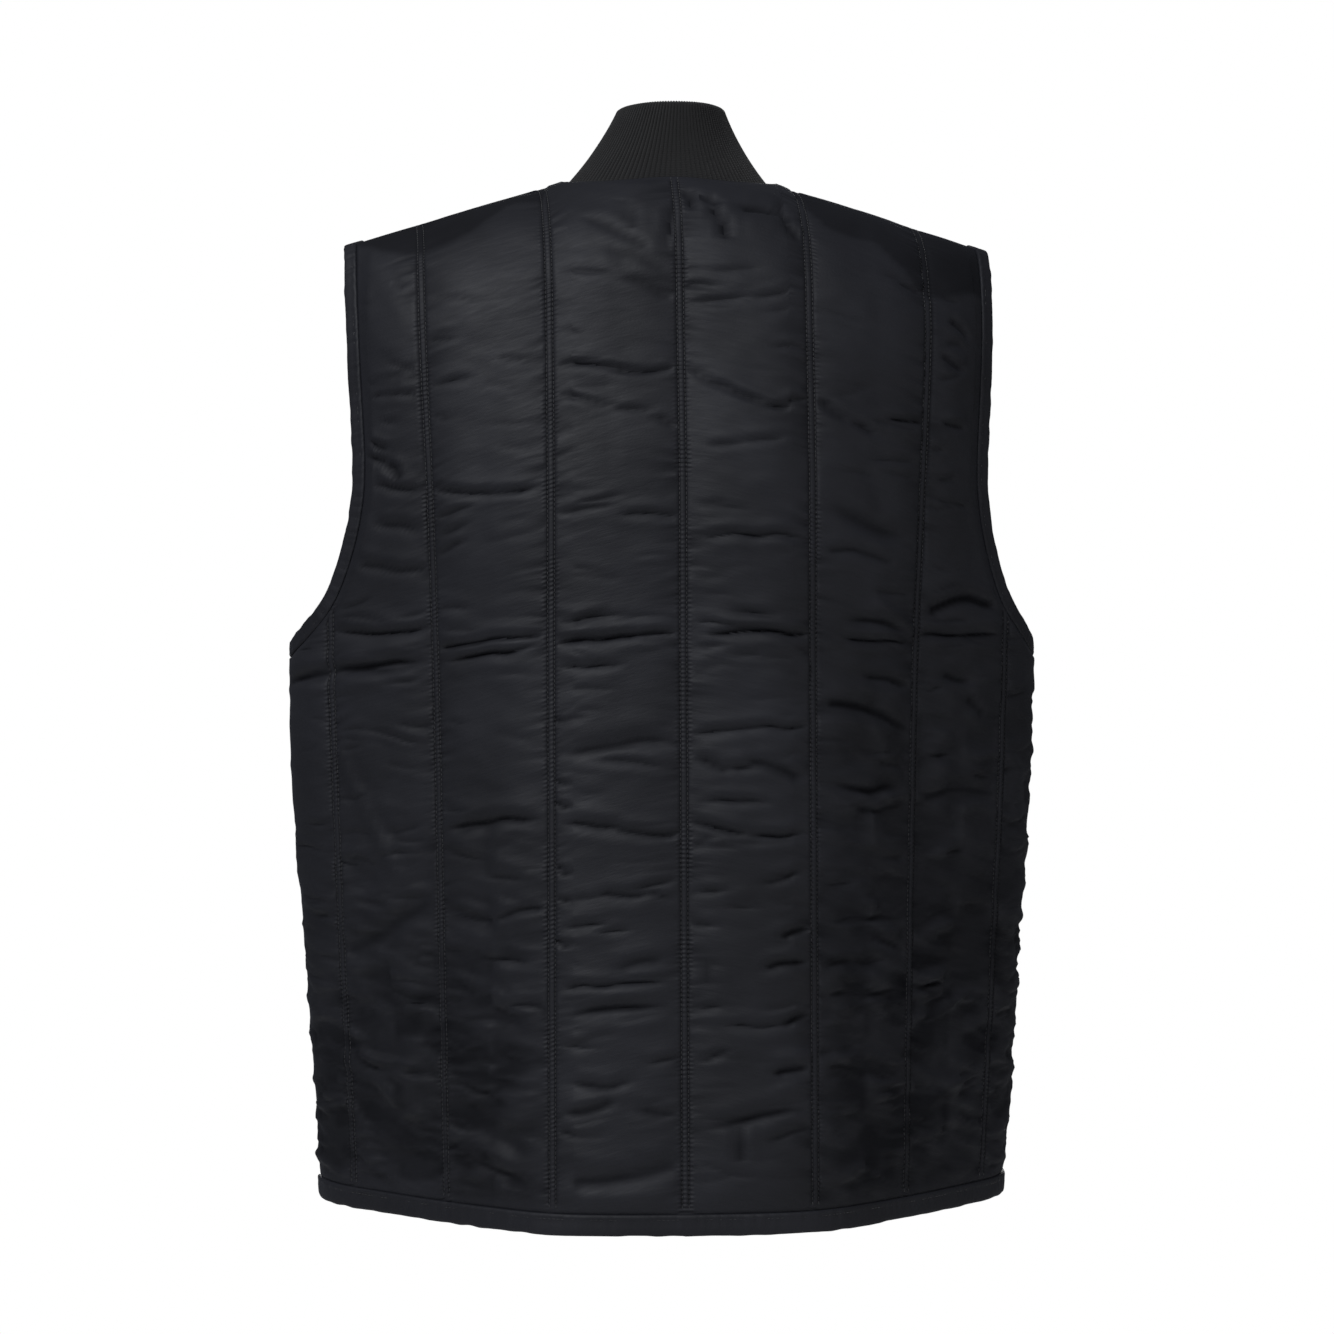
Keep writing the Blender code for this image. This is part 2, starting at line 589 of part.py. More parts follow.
def add_collar_wall(outer, inner, rib):
    """Joins the ribbed outside to a plain inside with a quarter of the columns."""
    step = 4
    rows, columns = outer.shape[:2]
    index = np.arange(rows * columns).reshape(rows, columns)
    inner = inner[[0, -1]][:, ::step]
    inside = np.arange(inner.shape[0] * inner.shape[1]).reshape(inner.shape[:2]) + rows * columns
    faces = quads(index) + quads(inside[:, ::-1])
    for outer_row, inner_row in ((index[0], inside[0]), (index[-1], inside[-1])):
        for i in range(len(inner_row) - 1):
            faces.append(outer_row[i * step : (i + 1) * step + 1].tolist() + [inner_row[i + 1], inner_row[i]])
    for outer_column, inner_column in ((index[:, 0], inside[:, 0]), (index[:, -1], inside[:, -1])):
        faces.append(outer_column.tolist() + inner_column[::-1].tolist())
    points = np.vstack([outer.reshape(-1, 3), inner.reshape(-1, 3)])
    add_object("collar", points, faces, rib)


def add_placket(fronts, nylon):
    """The flap over the front edges, made from the fronts' own points moved out."""
    right, left = fronts["front_right"], fronts["front_left"]
    base = np.stack([left[:, 1], left[:, 0], right[:, 0], right[:, 1]], axis=1)
    along = np.gradient(base[:, 1:3].mean(axis=1), axis=0)
    out = np.stack([np.zeros(len(along)), along[:, 2], -along[:, 1]], axis=1)
    out /= np.linalg.norm(out, axis=1, keepdims=True)
    under = base + out[:, None] * SEAM_GAP
    over = base + out[:, None] * (SEAM_GAP + PLACKET_WALL)
    sections = np.concatenate([under, over[:, ::-1]], axis=1)
    add_band("placket", sections, False, nylon)
    return over.mean(axis=1), out


def add_snaps(line, out, metal):
    """Domed snap caps down the placket, each seated on its face."""
    profile = ((0.0, 0.55), (0.0, 1.0), (SNAP_RISE * 0.6, 0.92), (SNAP_RISE, 0.5))
    turn = np.linspace(0.0, 2 * np.pi, 16, endpoint=False)
    for number, height in enumerate(SNAP_HEIGHTS, 1):
        centre = np.array([0.0, np.interp(height, line[:, 2], line[:, 1]), height])
        away = np.array([0.0, *(np.interp(height, line[:, 2], out[:, i]) for i in (1, 2))])
        upward = np.array([0.0, -away[2], away[1]])
        circle = np.cos(turn)[:, None] * np.array([1.0, 0.0, 0.0]) + np.sin(turn)[:, None] * upward
        rings = [centre + away * (SEAM_GAP + lift) + circle * SNAP_RADIUS * size for lift, size in profile]
        add_band(f"snap_{number}", np.array(rings), False, metal)


def main():
    for thing in list(bpy.data.objects):
        bpy.data.objects.remove(thing, do_unlink=True)
    nylon = material("black_navy_nylon", (0.016, 0.018, 0.026), 0.42)
    rib = material("rib_knit", (0.016, 0.016, 0.017), 0.9)
    metal = material("blackened_brass", (0.03, 0.03, 0.032), 0.35, 1.0)
    back_band, front_band, fronts = add_panels(nylon)
    add_armhole_bands(back_band, front_band, nylon)
    add_hem_band(nylon)
    add_collar(rib)
    line, out = add_placket(fronts, nylon)
    add_snaps(line, out, metal)


main()
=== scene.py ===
import bpy
import numpy as np
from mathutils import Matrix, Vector


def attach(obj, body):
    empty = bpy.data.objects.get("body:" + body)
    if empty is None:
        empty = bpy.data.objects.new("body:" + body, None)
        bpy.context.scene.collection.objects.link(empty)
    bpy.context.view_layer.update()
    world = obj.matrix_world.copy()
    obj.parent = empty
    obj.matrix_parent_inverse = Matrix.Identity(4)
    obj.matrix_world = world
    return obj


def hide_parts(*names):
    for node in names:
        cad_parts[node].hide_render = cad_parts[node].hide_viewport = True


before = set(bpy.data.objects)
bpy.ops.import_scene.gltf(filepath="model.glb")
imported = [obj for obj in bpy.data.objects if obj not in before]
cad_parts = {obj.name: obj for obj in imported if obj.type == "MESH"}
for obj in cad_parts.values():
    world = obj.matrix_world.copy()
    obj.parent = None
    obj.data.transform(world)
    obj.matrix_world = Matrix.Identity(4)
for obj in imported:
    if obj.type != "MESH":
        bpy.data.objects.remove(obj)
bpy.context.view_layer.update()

# Back panel
# One piece of padded nylon taffeta, from the neck seam down to the hem band and from side to side.
# Twin rows of stitches quilt it every 88 mm. The padding lifts the cloth between them, and wearing
# has creased it across the channels. Lengths are in millimetres and become metres in cloth_mesh.
MM = 0.001
PITCH = 88.0
SEAM_WALL = 3.0
THINNEST_WALL = 1.6
PUFF = 3.8
PUFF_POWER = 3.0
RIDGE_PUFF = 0.45
RIDGE_REACH = 70.0
HARD_EDGE = 16.0
SEAM_GAP = 0.3
NEEDLE_SPACING = 2.3
NEEDLE_HALF = 0.75
NEEDLE_DEPTH = 0.9
STRIP_HALF = 1.7
STRIP_RISE = 0.35
EDGE_DIP = 0.9
PUCKER_PITCH = 4.6
PUCKER_REACH = 8.0
CRUMPLED_BELOW_RIGHT = -250.0
CRUMPLED_BELOW_LEFT = -380.0

SHOULDER_SLOPE = 0.305
RIDGE_ROUND = 25.0
RIDGE_DROP = 3.0
TURN_WIDTH = 74.0
NECK_HALF = 73.9
LAST_CHANNEL = 3 * PITCH

HEM_BACK = -716.0
HEM_SIDE_LIFT = 8.0
HEM_WIDTH = 13.0
ARM_BAND_WIDTH = 10.0
UNDERARM = -319.5

# The worn form from the shoulders down: half width, the side seam's place front to back, and how
# far the cloth has turned, in degrees, in each of three channels of the back and of the front
FORM_COLUMNS = ("height", "half_width", "side_y", "back_1", "back_2", "back_3",
                "front_1", "front_2", "front_3")
FORM = np.array([
    (20.0, 258.0, 22.0, 4.0, 13.0, 40.0, 3.0, 12.0, 28.0),
    (-90.0, 258.0, 22.0, 4.0, 14.0, 42.0, 3.0, 12.0, 28.0),
    (-150.0, 258.5, 25.0, 5.0, 20.0, 42.0, 3.0, 14.0, 31.0),
    (-220.0, 258.5, 28.0, 5.0, 27.0, 41.0, 4.0, 16.0, 33.0),
    (-325.0, 259.5, 30.0, 6.0, 33.0, 37.0, 4.0, 16.0, 33.0),
    (-430.0, 257.0, 31.0, 6.0, 36.0, 38.0, 4.0, 17.0, 34.0),
    (-570.0, 247.3, 33.0, 5.0, 39.0, 42.0, 4.0, 19.0, 36.0),
    (-720.0, 237.0, 36.0, 6.0, 42.0, 47.0, 5.0, 22.0, 40.0),
])

# The form is worked out at even heights. Its places run in even steps of tape as far as the last
# channel's line, and in turned steps from there round to the side seam.
FORM_LOW = -740.0
FORM_HIGH = 20.0
FORM_STEP = 5.0
FLAT_STEPS = 66
ROUND_STEPS = 24

# The armhole's open edge from the underarm up to the shoulder tip, as tape and height
ARMHOLE_BACK = np.array([
    (316.0, -318.0), (292.0, -308.0), (271.0, -290.0), (257.0, -264.0), (247.0, -235.0),
    (242.0, -205.0), (241.5, -150.0), (242.5, -48.0),
])
ARMHOLE_FRONT = np.array([
    (281.0, -318.0), (260.0, -306.0), (241.0, -282.0), (226.0, -250.0), (214.0, -215.0),
    (209.0, -180.0), (213.0, -120.0), (228.6, -48.0),
])

# Creases as they lie on the worn back: from_tape, from_height, to_tape, to_height, bow, depth,
# half_width. Tape runs from the centre line to the wearer's right, and a negative depth is a ridge.
BACK_CREASES = np.array([
    # Under the collar, where the neck seam has gathered the cloth
    (-35, -22, -33, -44, 1, 2.6, 2.6), (5, -12, 12, -30, 1, 3.4, 2.8), (15, -17, 29, -27, -1, 3.2, 2.6),
    (23, -26, 32, -50, 2, 3.4, 2.8), (42, -27, 71, -32, 1, 4.4, 5), (-4, -20, -9, -60, 0, 2.6, 2.4),
    (-62, -36, -20, -58, 2, 1.6, 4), (70, -22, 84, -52, -2, 3.0, 3),
    # Between the shoulder blades
    (-86, -71, -38, -76, 1, 1.6, 4), (-38, -76, -4, -89, 2, 1.8, 4), (-56, -55, -8, -71, 2, 1.2, 5),
    (-84, -135, -30, -138, 1, 3.0, 2.8), (-46, -138, -4, -135, -3, 2.6, 2.8),
    (-82, -153, -46, -166, 1, 1.7, 2.6), (-48, -166, -19, -169, 1, 2.1, 2.6),
    (-20, -169, -4, -177, 0, 2.3, 2.6), (-124, -130, -98, -133, 0, 1.3, 2.6),
    (-172, -149, -138, -143, 1, 1.9, 3), (-218, -153, -181, -153, 0, 2.3, 2.4),
    (-212, -170, -196, -170, 0, 1.7, 2.4), (-228, -184, -204, -190, 1, 3.2, 2.8),
    (-230, -194, -208, -198, 1, 3.0, 3), (-210, -198, -198, -212, 2, 3.2, 3.4),
    (17, -70, 58, -70, 0, 1.4, 2.6), (5, -79, 26, -80, 0, 1.4, 2.6), (5, -90, 46, -89, -1, 1.9, 2.8),
    (46, -89, 80, -85, 0, 1.6, 2.8), (6, -139, 34, -151, -1, 1.9, 3),
    (30, -150, 56, -161, -1, 2.8, 2.8), (52, -160, 76, -165, 0, 3.0, 2.8),
    (70, -158, 85, -156, 0, 2.4, 2.6), (62, -122, 84, -122, 0, 1.7, 2.4),
    (14, -190, 42, -187, -1, 1.9, 2.8), (40, -187, 68, -186, 1, 1.9, 2.8),
    (93, -155, 116, -173, -1, 2.8, 3.2), (114, -173, 138, -181, 0, 3.0, 3),
    (144, -169, 173, -170, 0, 3.4, 2.8), (152, -75, 173, -84, 0, 2.6, 3),
    (186, -84, 204, -89, 0, 1.8, 3), (194, -100, 212, -111, 0, 2.4, 3),
    (186, -124, 208, -134, 0, 2.4, 3), (188, -170, 214, -173, 0, 3.3, 3),
    # Below the shoulder blades
    (-172, -217, -98, -218, -3, 3.0, 3.2), (-83, -237, -45, -229, 1, 2.0, 3),
    (-73, -229, -39, -221, 0, 1.6, 2.6), (-40, -236, -4, -238, 1, 2.4, 2.8),
    (7, -250, 84, -250, 1, 3.0, 3.2), (94, -226, 168, -252, -4, 3.0, 6),
    (96, -258, 150, -266, 2, 2.2, 4), (-222, -212, -182, -218, 0, 2.6, 3),
    (-226, -238, -180, -246, 1, 2.6, 4), (-236, -266, -180, -272, -2, 2.6, 4),
    (-172, -236, -142, -228, 0, 1.9, 2.4), (-170, -250, -146, -240, 0, 1.9, 2.4),
    (-168, -262, -150, -252, 0, 1.9, 2.4),
    # The long fold from side to side at the underarms
    (-320, -350, -178, -333, 2, 4.6, 5), (-174, -334.5, -90, -323.5, 0, 4.6, 3.6),
    (-174, -325, -92, -317, 1, 3.8, 3.6), (-264, -312, -178, -312, -2, 3.6, 4),
    (-264, -341, -200, -343, 2, 3.2, 4), (-84, -322, -30, -318, 1, 4.2, 3.4),
    (-34, -318, -4, -316, 1, 3.4, 3), (-84, -309, -36, -303, 1, 2.2, 2.8),
    (-80, -338, -42, -336, 0, 2.4, 3), (9, -307, 34, -309, 0, 2.0, 2.6),
    (30, -299, 66, -305, 1, 2.0, 3), (16, -316, 86, -316, 2, 4.4, 3.4),
    (11, -327, 27, -323, 0, 1.7, 2.6), (32, -331, 52, -329, 0, 1.7, 2.6),
    (184, -302, 253, -296, 8, 4.6, 5), (174, -315, 262, -315, -1, 4.2, 3.6),
    (110, -306, 171, -314, 2, 3.2, 4), (111, -318, 170, -320, 0, 3.2, 3),
    (184, -305, 225, -305, 0, 2.0, 6), (199, -343, 231, -349, 0, 3.6, 5),
    (136, -292, 170, -309, 0, -2.0, 4), (125, -342, 173, -353, 1, 3.0, 4),
    (221, -355, 246, -375, 0, 2.6, 4), (97, -361, 172, -381, 4, 4.6, 5),
    # The small of the back
    (-83, -397, -4, -387, 2, 3.0, 6), (-62, -401, -6, -407, 3, 2.4, 3.2),
    (5, -382, 85, -378, 1, 2.8, 3.2), (7, -398, 30, -408, 0, 3.0, 3.8),
    (28, -408, 50, -406, 1, 2.8, 3.6), (44, -400, 80, -415, 2, 2.9, 4),
    (12, -428, 58, -431, 3, 2.4, 3.2), (-83, -443, -38, -446, 1, 3.6, 4),
    (-44, -446, -4, -451, -1, 3.0, 3.4), (4, -441, 44, -451, 0, 3.2, 3.4),
    (40, -451, 84, -449, -1, 3.4, 3.4), (7, -458, 20, -450, 0, 1.8, 2.4),
    (-171, -449, -94, -439, 2, 3.8, 4.6), (96, -413, 172, -417, -6, 4.2, 5),
    (183, -429, 260, -427, 5, 4.6, 6), (117, -430, 173, -428, -6, 3.0, 4),
    (192, -398, 211, -398, 0, 3.2, 5), (-262, -390, -208, -484, 0, -1.6, 4),
    (-86, -371, -79, -377, 0, 2.4, 2), (-86, -412, -77, -417, 0, 2.6, 2),
    (-86, -428, -78, -433, 0, 2.6, 2), (-85, -470, -77, -478, 0, 2.6, 2),
    (-85, -491, -73, -498, 0, 2.8, 2), (-85, -519, -77, -524, 0, 2.6, 2),
    # Lower back
    (-264, -473, -244, -473, 0, 3.0, 4), (-262, -478, -222, -491, 0, 3.6, 9),
    (-262, -533, -184, -495, -4, 5.6, 6.5), (-211, -567, -183, -566, 0, 2.6, 3),
    (-258, -575, -203, -600, 0, 5.6, 15), (-258, -599, -196, -610, -3, -2.4, 5),
    (-256, -608, -232, -614, 0, 3.6, 4), (-172, -503, -127, -509, 0, 4.2, 3.8),
    (-128, -508, -94, -500, 2, 2.8, 3), (-135, -479, -109, -481, 0, 2.6, 6),
    (-146, -535, -98, -537, 2, 3.2, 3.4), (-173, -530, -156, -529, 0, 3.0, 3),
    (-172, -553, -145, -560, 2, 3.3, 3), (-173, -565, -157, -563, 0, 3.0, 3),
    (-118, -562, -92, -567, 0, 2.8, 4), (-172, -577, -102, -578, 5, 4.6, 6.5),
    (-172, -603, -146, -601, 0, 3.0, 4), (-142, -604, -118, -606, 0, 2.6, 3.4),
    (-58, -487, -22, -490, -1, 2.9, 4), (-36, -486, -4, -478, 0, 2.3, 3),
    (-24, -485, -9, -494, 0, 2.0, 2.6), (-79, -511, -50, -509, 0, 2.3, 3.4),
    (-60, -513, -36, -514, 0, 2.0, 2.6), (-81, -553, -12, -549, 2, 2.9, 3.2),
    (-48, -542, -12, -533, 4, 2.3, 4.4), (-82, -571, -7, -563, 2, 3.8, 5),
    (-77, -590, -64, -590, 0, 1.7, 3), (-26, -602, -4, -597, 0, 1.8, 3),
    (48, -484, 82, -473, -1, 2.4, 3), (9, -487, 24, -490, 0, 2.2, 2.8), (28, -498, 48, -498, 0, 1.7, 4),
    (5, -509, 22, -512, 0, 2.3, 3), (63, -521, 84, -513, 1, 3.4, 3.2),
    (50, -541, 84, -536, 2, 3.4, 3.4), (14, -530, 19, -553, 0, 2.0, 4),
    (10, -566, 24, -565, 0, 2.4, 2.8), (26, -577, 68, -577, -1, 2.4, 3.2),
    (62, -577, 84, -570, -1, 3.4, 3.2), (12, -600, 26, -592, 0, 2.0, 2.8),
    (58, -609, 84, -606, 0, 3.4, 4.6), (94, -484, 123, -483, 0, 3.2, 4),
    (128, -492, 171, -495, 0, 3.2, 8), (97, -510, 172, -512, 4, 4.6, 5.4),
    (138, -522, 172, -534, 2, 3.6, 3.2), (133, -526, 170, -542, 2, -1.8, 3.6),
    (95, -540, 120, -534, 1, 3.0, 3), (118, -534, 152, -535, -3, 3.0, 3),
    (98, -557, 172, -557, -2, 4.8, 5.4), (100, -568, 172, -566, 2, -1.8, 4),
    (96, -578, 172, -598, 3, 5.6, 13), (98, -605, 160, -617, 0, 3.4, 5),
    (185, -514, 224, -503, 2, 3.2, 4), (208, -467, 229, -464, 0, 2.8, 3.6),
    (185, -545, 214, -537, 0, 3.2, 4), (183, -559, 206, -553, 0, 3.0, 4),
    (185, -569, 221, -566, 0, 3.0, 4), (210, -543, 254, -553, 0, 4.6, 11),
    (196, -584, 239, -560, 2, -3.0, 4.6), (190, -600, 246, -592, 0, 5.6, 15),
    # Above the hem
    (-290, -609, -255, -625, 0, 3.6, 5), (-280, -628, -257, -636, 0, 2.6, 4),
    (-249, -630, -196, -661, 0, 5.0, 8), (-249, -641, -201, -666, 0, -2.4, 5),
    (-246, -668, -180, -688, 0, 4.2, 8), (-166, -615, -126, -622, -6, 3.2, 4),
    (-161, -642, -107, -658, 2, 5.0, 8), (-161, -666, -101, -686, 0, 3.2, 5),
    (-80, -613, -32, -612, -5, 2.7, 4), (-77, -634, -46, -625, -3, 2.7, 4),
    (-32, -631, -5, -636, -3, 2.2, 4), (-84, -646, -72, -652, 0, 2.4, 2.6),
    (-76, -680, -4, -668, -4, 4.6, 7), (59, -610, 84, -605, 0, 2.4, 4),
    (11, -646, 86, -634, 2, 3.8, 5.5), (34, -642, 38, -668, 0, 2.6, 3.6),
    (53, -653, 85, -647, 0, 2.2, 5), (96, -610, 134, -623, 2, 3.2, 5),
    (129, -606, 167, -616, 0, 3.6, 6), (97, -642, 159, -660, 0, 5.0, 9),
    (128, -672, 158, -678, 0, 3.2, 5), (184, -678, 238, -664, 0, 4.8, 12),
    (174, -650, 237, -620, 2, -3.0, 6),
], dtype=float)

# The lower edge of the painted shade on the shoulders, where the cloth is also pressed down: tape and
# height
SHOULDER_SHADE = np.array([
    (-245, -50), (-205, -56), (-170, -60), (-140, -47), (-112, -26), (-90, -26), (-72, 20), (72, 20),
    (88, -26), (104, -46), (140, -58), (176, -88), (245, -84),
], dtype=float)

CREASE_WANDER = 1.3
WANDER_PITCH = 15.0
NARROW_SHARE = 0.62
LOOSE_CREASES = 420
LOOSE_LOW = -694.0
ROW_COUNT = 560
ARMHOLE_COUNT = 400
INSIDE_STEP = 7


def smooth(t):
    """Eases from 0 to 1: three t squared less two t cubed."""
    t = np.clip(t, 0.0, 1.0)
    return t * t * (3.0 - 2.0 * t)


def wander(x, seed):
    """Smooth uneven heights along a line: a seeded value from -1 to 1 at each whole x, eased between."""
    values = np.random.default_rng(seed).uniform(-1.0, 1.0, 4096)
    low = np.floor(x).astype(int)
    ease = smooth(x - low)
    return values[low % 4096] * (1.0 - ease) + values[(low + 1) % 4096] * ease


def ripple(x, y, seed):
    """Smooth uneven heights over a surface: a seeded value at each whole x and y, eased between."""
    values = np.random.default_rng(seed).uniform(-1.0, 1.0, (512, 512))
    left, low = np.floor(x).astype(int), np.floor(y).astype(int)
    over, up = smooth(x - left), smooth(y - low)
    left, low = left % 512, low % 512
    right, high = (left + 1) % 512, (low + 1) % 512
    bottom = values[left, low] * (1 - over) + values[right, low] * over
    top = values[left, high] * (1 - over) + values[right, high] * over
    return bottom * (1 - up) + top * up


def unit(vectors):
    """Vectors brought to length 1: each is divided by its own length."""
    return vectors / np.linalg.norm(vectors, axis=-1, keepdims=True)


def form_column(name, height):
    """A column of FORM at each height, averaged over 80 mm so that no row shows as a kink."""
    heights = FORM[::-1, 0]
    values = FORM[::-1, FORM_COLUMNS.index(name)]
    steps = np.linspace(-40, 40, 9)
    return np.mean([np.interp(height + step, heights, values) for step in steps], axis=0)


def level_section(height, face_name):
    """The form's section at a height: the sums of the cosine and sine of the turn along the tape."""
    first, second, third = (np.radians(form_column(f"{face_name}_{i}", height)) for i in (1, 2, 3))
    tape = np.linspace(0.0, LAST_CHANNEL, FLAT_STEPS + 1)
    turn = first * smooth(tape / PITCH) + (second - first) * smooth((tape - PITCH) / TURN_WIDTH + 0.5)
    turn += (third - second) * smooth((tape - 2 * PITCH) / TURN_WIDTH + 0.5)
    middle = (turn[1:] + turn[:-1]) / 2
    across = np.concatenate([[0.0], np.cumsum(np.cos(middle)) * tape[1]])
    inward = np.concatenate([[0.0], np.cumsum(np.sin(middle)) * tape[1]])
    half_width = form_column("half_width", height)
    rest = half_width - across[-1]
    side_step = rest * (np.pi / 2 - third) / (1.0 - np.sin(third)) / ROUND_STEPS
    side = third + (np.pi / 2 - third) * (np.arange(ROUND_STEPS) + 0.5) / ROUND_STEPS
    across = np.concatenate([across, across[-1] + np.cumsum(np.cos(side)) * side_step])
    across *= half_width / across[-1]
    inward = np.concatenate([inward, inward[-1] + np.cumsum(np.sin(side)) * side_step])
    side_tape = LAST_CHANNEL + np.arange(1, ROUND_STEPS + 1) * side_step
    return np.concatenate([tape, side_tape]), across, inward


class WornFace:
    """The back or the front of the worn form. A place on it is tape, the signed distance from the
    centre line along the cloth, and rise, the distance up from the shoulder ridge, 0 or less. Sign
    is the side of Y that it lies on, cap the radius over the shoulder, neck the neck's reach from
    the ridge, and first_line the tape where its padding starts."""

    def __init__(self, name, sign, cap, neck, armhole, first_line):
        self.sign, self.cap, self.neck = sign, cap, neck
        self.armhole, self.first_line = armhole, first_line
        self.heights = np.arange(FORM_LOW, FORM_HIGH + 1.0, FORM_STEP)
        sections = [level_section(height, name) for height in self.heights]
        self.tape, self.across, inward = (np.array(part) for part in zip(*sections))
        side_y = form_column("side_y", self.heights)
        self.depth = side_y[:, None] + sign * (inward[:, -1:] - inward)

    def side(self, height):
        """The tape at the side seam."""
        return np.interp(height, self.heights, self.tape[:, -1])

    def ridge(self, tape):
        """The shoulder ridge's height: a straight slope, rounded over at the neck as a hyperbola."""
        x = np.interp(np.abs(tape), self.tape[-1], self.across[-1])
        return SHOULDER_SLOPE * (np.hypot(NECK_HALF, RIDGE_ROUND) - np.hypot(x, RIDGE_ROUND)) - RIDGE_DROP

    def height(self, tape, rise):
        """Height of a place: a quarter turn of radius cap over the shoulder, then straight down."""
        turn = np.clip(-rise / self.cap, 0.0, np.pi / 2)
        straight = np.minimum(rise + self.cap * np.pi / 2, 0.0)
        return self.ridge(tape) - self.cap * (1.0 - np.cos(turn)) + straight

    def rise(self, tape, height):
        """The rise of a place from its height, the reverse of height()."""
        below = self.ridge(tape) - height
        turn = np.arccos(np.clip(1.0 - below / self.cap, 0.0, 1.0))
        return -self.cap * turn - np.maximum(below - self.cap, 0.0)

    def sample(self, grid, tape, height):
        """Reads a grid of sections between its samples, linearly both ways."""
        row = np.clip((height - FORM_LOW) / FORM_STEP, 0, len(self.heights) - 1.001)
        flat = tape / LAST_CHANNEL * FLAT_STEPS
        side = FLAT_STEPS + ROUND_STEPS * (tape - LAST_CHANNEL) / (self.side(height) - LAST_CHANNEL)
        place = np.where(tape < LAST_CHANNEL, flat, side)
        place = np.clip(place, 0, FLAT_STEPS + ROUND_STEPS - 0.001)
        lower, left = row.astype(int), place.astype(int)
        up, over = row - lower, place - left
        low = grid[lower, left] * (1 - over) + grid[lower, left + 1] * over
        high = grid[lower + 1, left] * (1 - over) + grid[lower + 1, left + 1] * over
        return low * (1 - up) + high * up

    def point(self, tape, rise):
        """The inside of the cloth at a place, bent forward over the shoulder by the turn's sine."""
        height = self.height(tape, rise)
        x = np.sign(tape) * self.sample(self.across, np.abs(tape), height)
        turn = np.clip(-rise / self.cap, 0.0, np.pi / 2)
        y = self.sample(self.depth, np.abs(tape), height) * np.sin(turn)
        return np.stack([x, y, height], axis=-1)

    def normal(self, tape, rise):
        """The outward direction: the cross product of steps up and along, level across each seam."""
        limit = self.side(self.height(tape, rise))
        near = np.clip(tape, -limit + 0.6, limit - 0.6)
        low = np.minimum(rise, -0.6)
        along = self.point(near + 0.5, low) - self.point(near - 0.5, low)
        up = self.point(near, low + 0.5) - self.point(near, low - 0.5)
        out = self.sign * np.cross(up, along)
        seam = (np.abs(tape) > limit - 1.0) | (rise > -1.0)
        out[..., 1] = np.where(seam, 0.0, out[..., 1])
        return unit(out)

    def neck_rise(self, tape):
        """The rise of the neck seam, an oval seen from above, and 0 beyond the neck."""
        over = np.sqrt(np.clip(1.0 - (tape / NECK_HALF) ** 2, 0.0, 1.0)) * self.neck
        full = np.abs(self.sample(self.depth, np.abs(tape), np.zeros_like(tape)))
        return -self.cap * np.arcsin(np.clip(over / full, 0.0, 1.0))

    def hem_rise(self, tape):
        """The rise of the panel's lower edge: the hem dips in the middle of the back as a parabola."""
        width = self.side(np.full_like(tape, HEM_BACK))
        height = HEM_BACK + HEM_SIDE_LIFT * (np.abs(tape) / width) ** 2
        if self.sign > 0:
            height = np.full_like(tape, HEM_BACK + HEM_SIDE_LIFT)
        return self.rise(tape, height) + HEM_WIDTH + SEAM_GAP


def crease_relief(tape, height, creases, seed):
    """Sum of the creases: each is a trough with a lip on each side, on a line bowed as half a sine
    wave that wanders a little, and it fades at its ends. A trough is a narrow bell curve on a wide
    one, and is wider where its line slants or bows. Also returns the painted shade in each crease,
    from how deep in it a place is."""
    relief, crease_shade = np.zeros_like(tape), np.zeros_like(tape)
    for number, (tape_0, height_0, tape_1, height_1, bow, depth, half_width) in enumerate(creases):
        length = np.hypot(tape_1 - tape_0, height_1 - height_0)
        ahead_t, ahead_h = (tape_1 - tape_0) / length, (height_1 - height_0) / length
        reach = 3.2 * half_width + abs(bow) + 1.0
        near = (tape > min(tape_0, tape_1) - reach) & (tape < max(tape_0, tape_1) + reach)
        near &= (height > min(height_0, height_1) - reach) & (height < max(height_0, height_1) + reach)
        over_t, over_h = tape[near] - tape_0, height[near] - height_0
        run = (over_t * ahead_t + over_h * ahead_h) / length
        bowed = bow * np.sin(np.pi * np.clip(run, 0.0, 1.0))
        line = bowed + CREASE_WANDER * wander(run * length / WANDER_PITCH + 31.7 * number, seed)
        across = (over_h * ahead_t - over_t * ahead_h - line) / half_width
        fade = smooth(np.minimum(run, 1.0 - run) / (0.10 + 0.12 * (number % 3)))
        sharp = np.clip((10.0 - half_width) / 5.0, 0.0, 1.0)
        slant = np.clip(0.25 + 0.7 * abs(ahead_h) + 2.2 * abs(bow) / length, 0.25, 0.85)
        narrow = np.exp(-((across / slant) ** 2)) * sharp
        trough = NARROW_SHARE * narrow + (1.0 - NARROW_SHARE * sharp) * np.exp(-((across / 1.2) ** 2))
        upper_lip = 0.36 * np.exp(-(((across - 2.0) / 1.2) ** 2))
        lower_lip = 0.20 * np.exp(-(((across + 2.1) / 1.2) ** 2))
        relief[near] -= depth * fade * (trough - (upper_lip + lower_lip) * (0.3 + 0.7 * sharp))
        inside = fade * NARROW_SHARE * np.clip(depth / 4.0, 0.0, 1.0) * narrow
        crease_shade[near] = np.maximum(crease_shade[near], inside)
    return relief, crease_shade


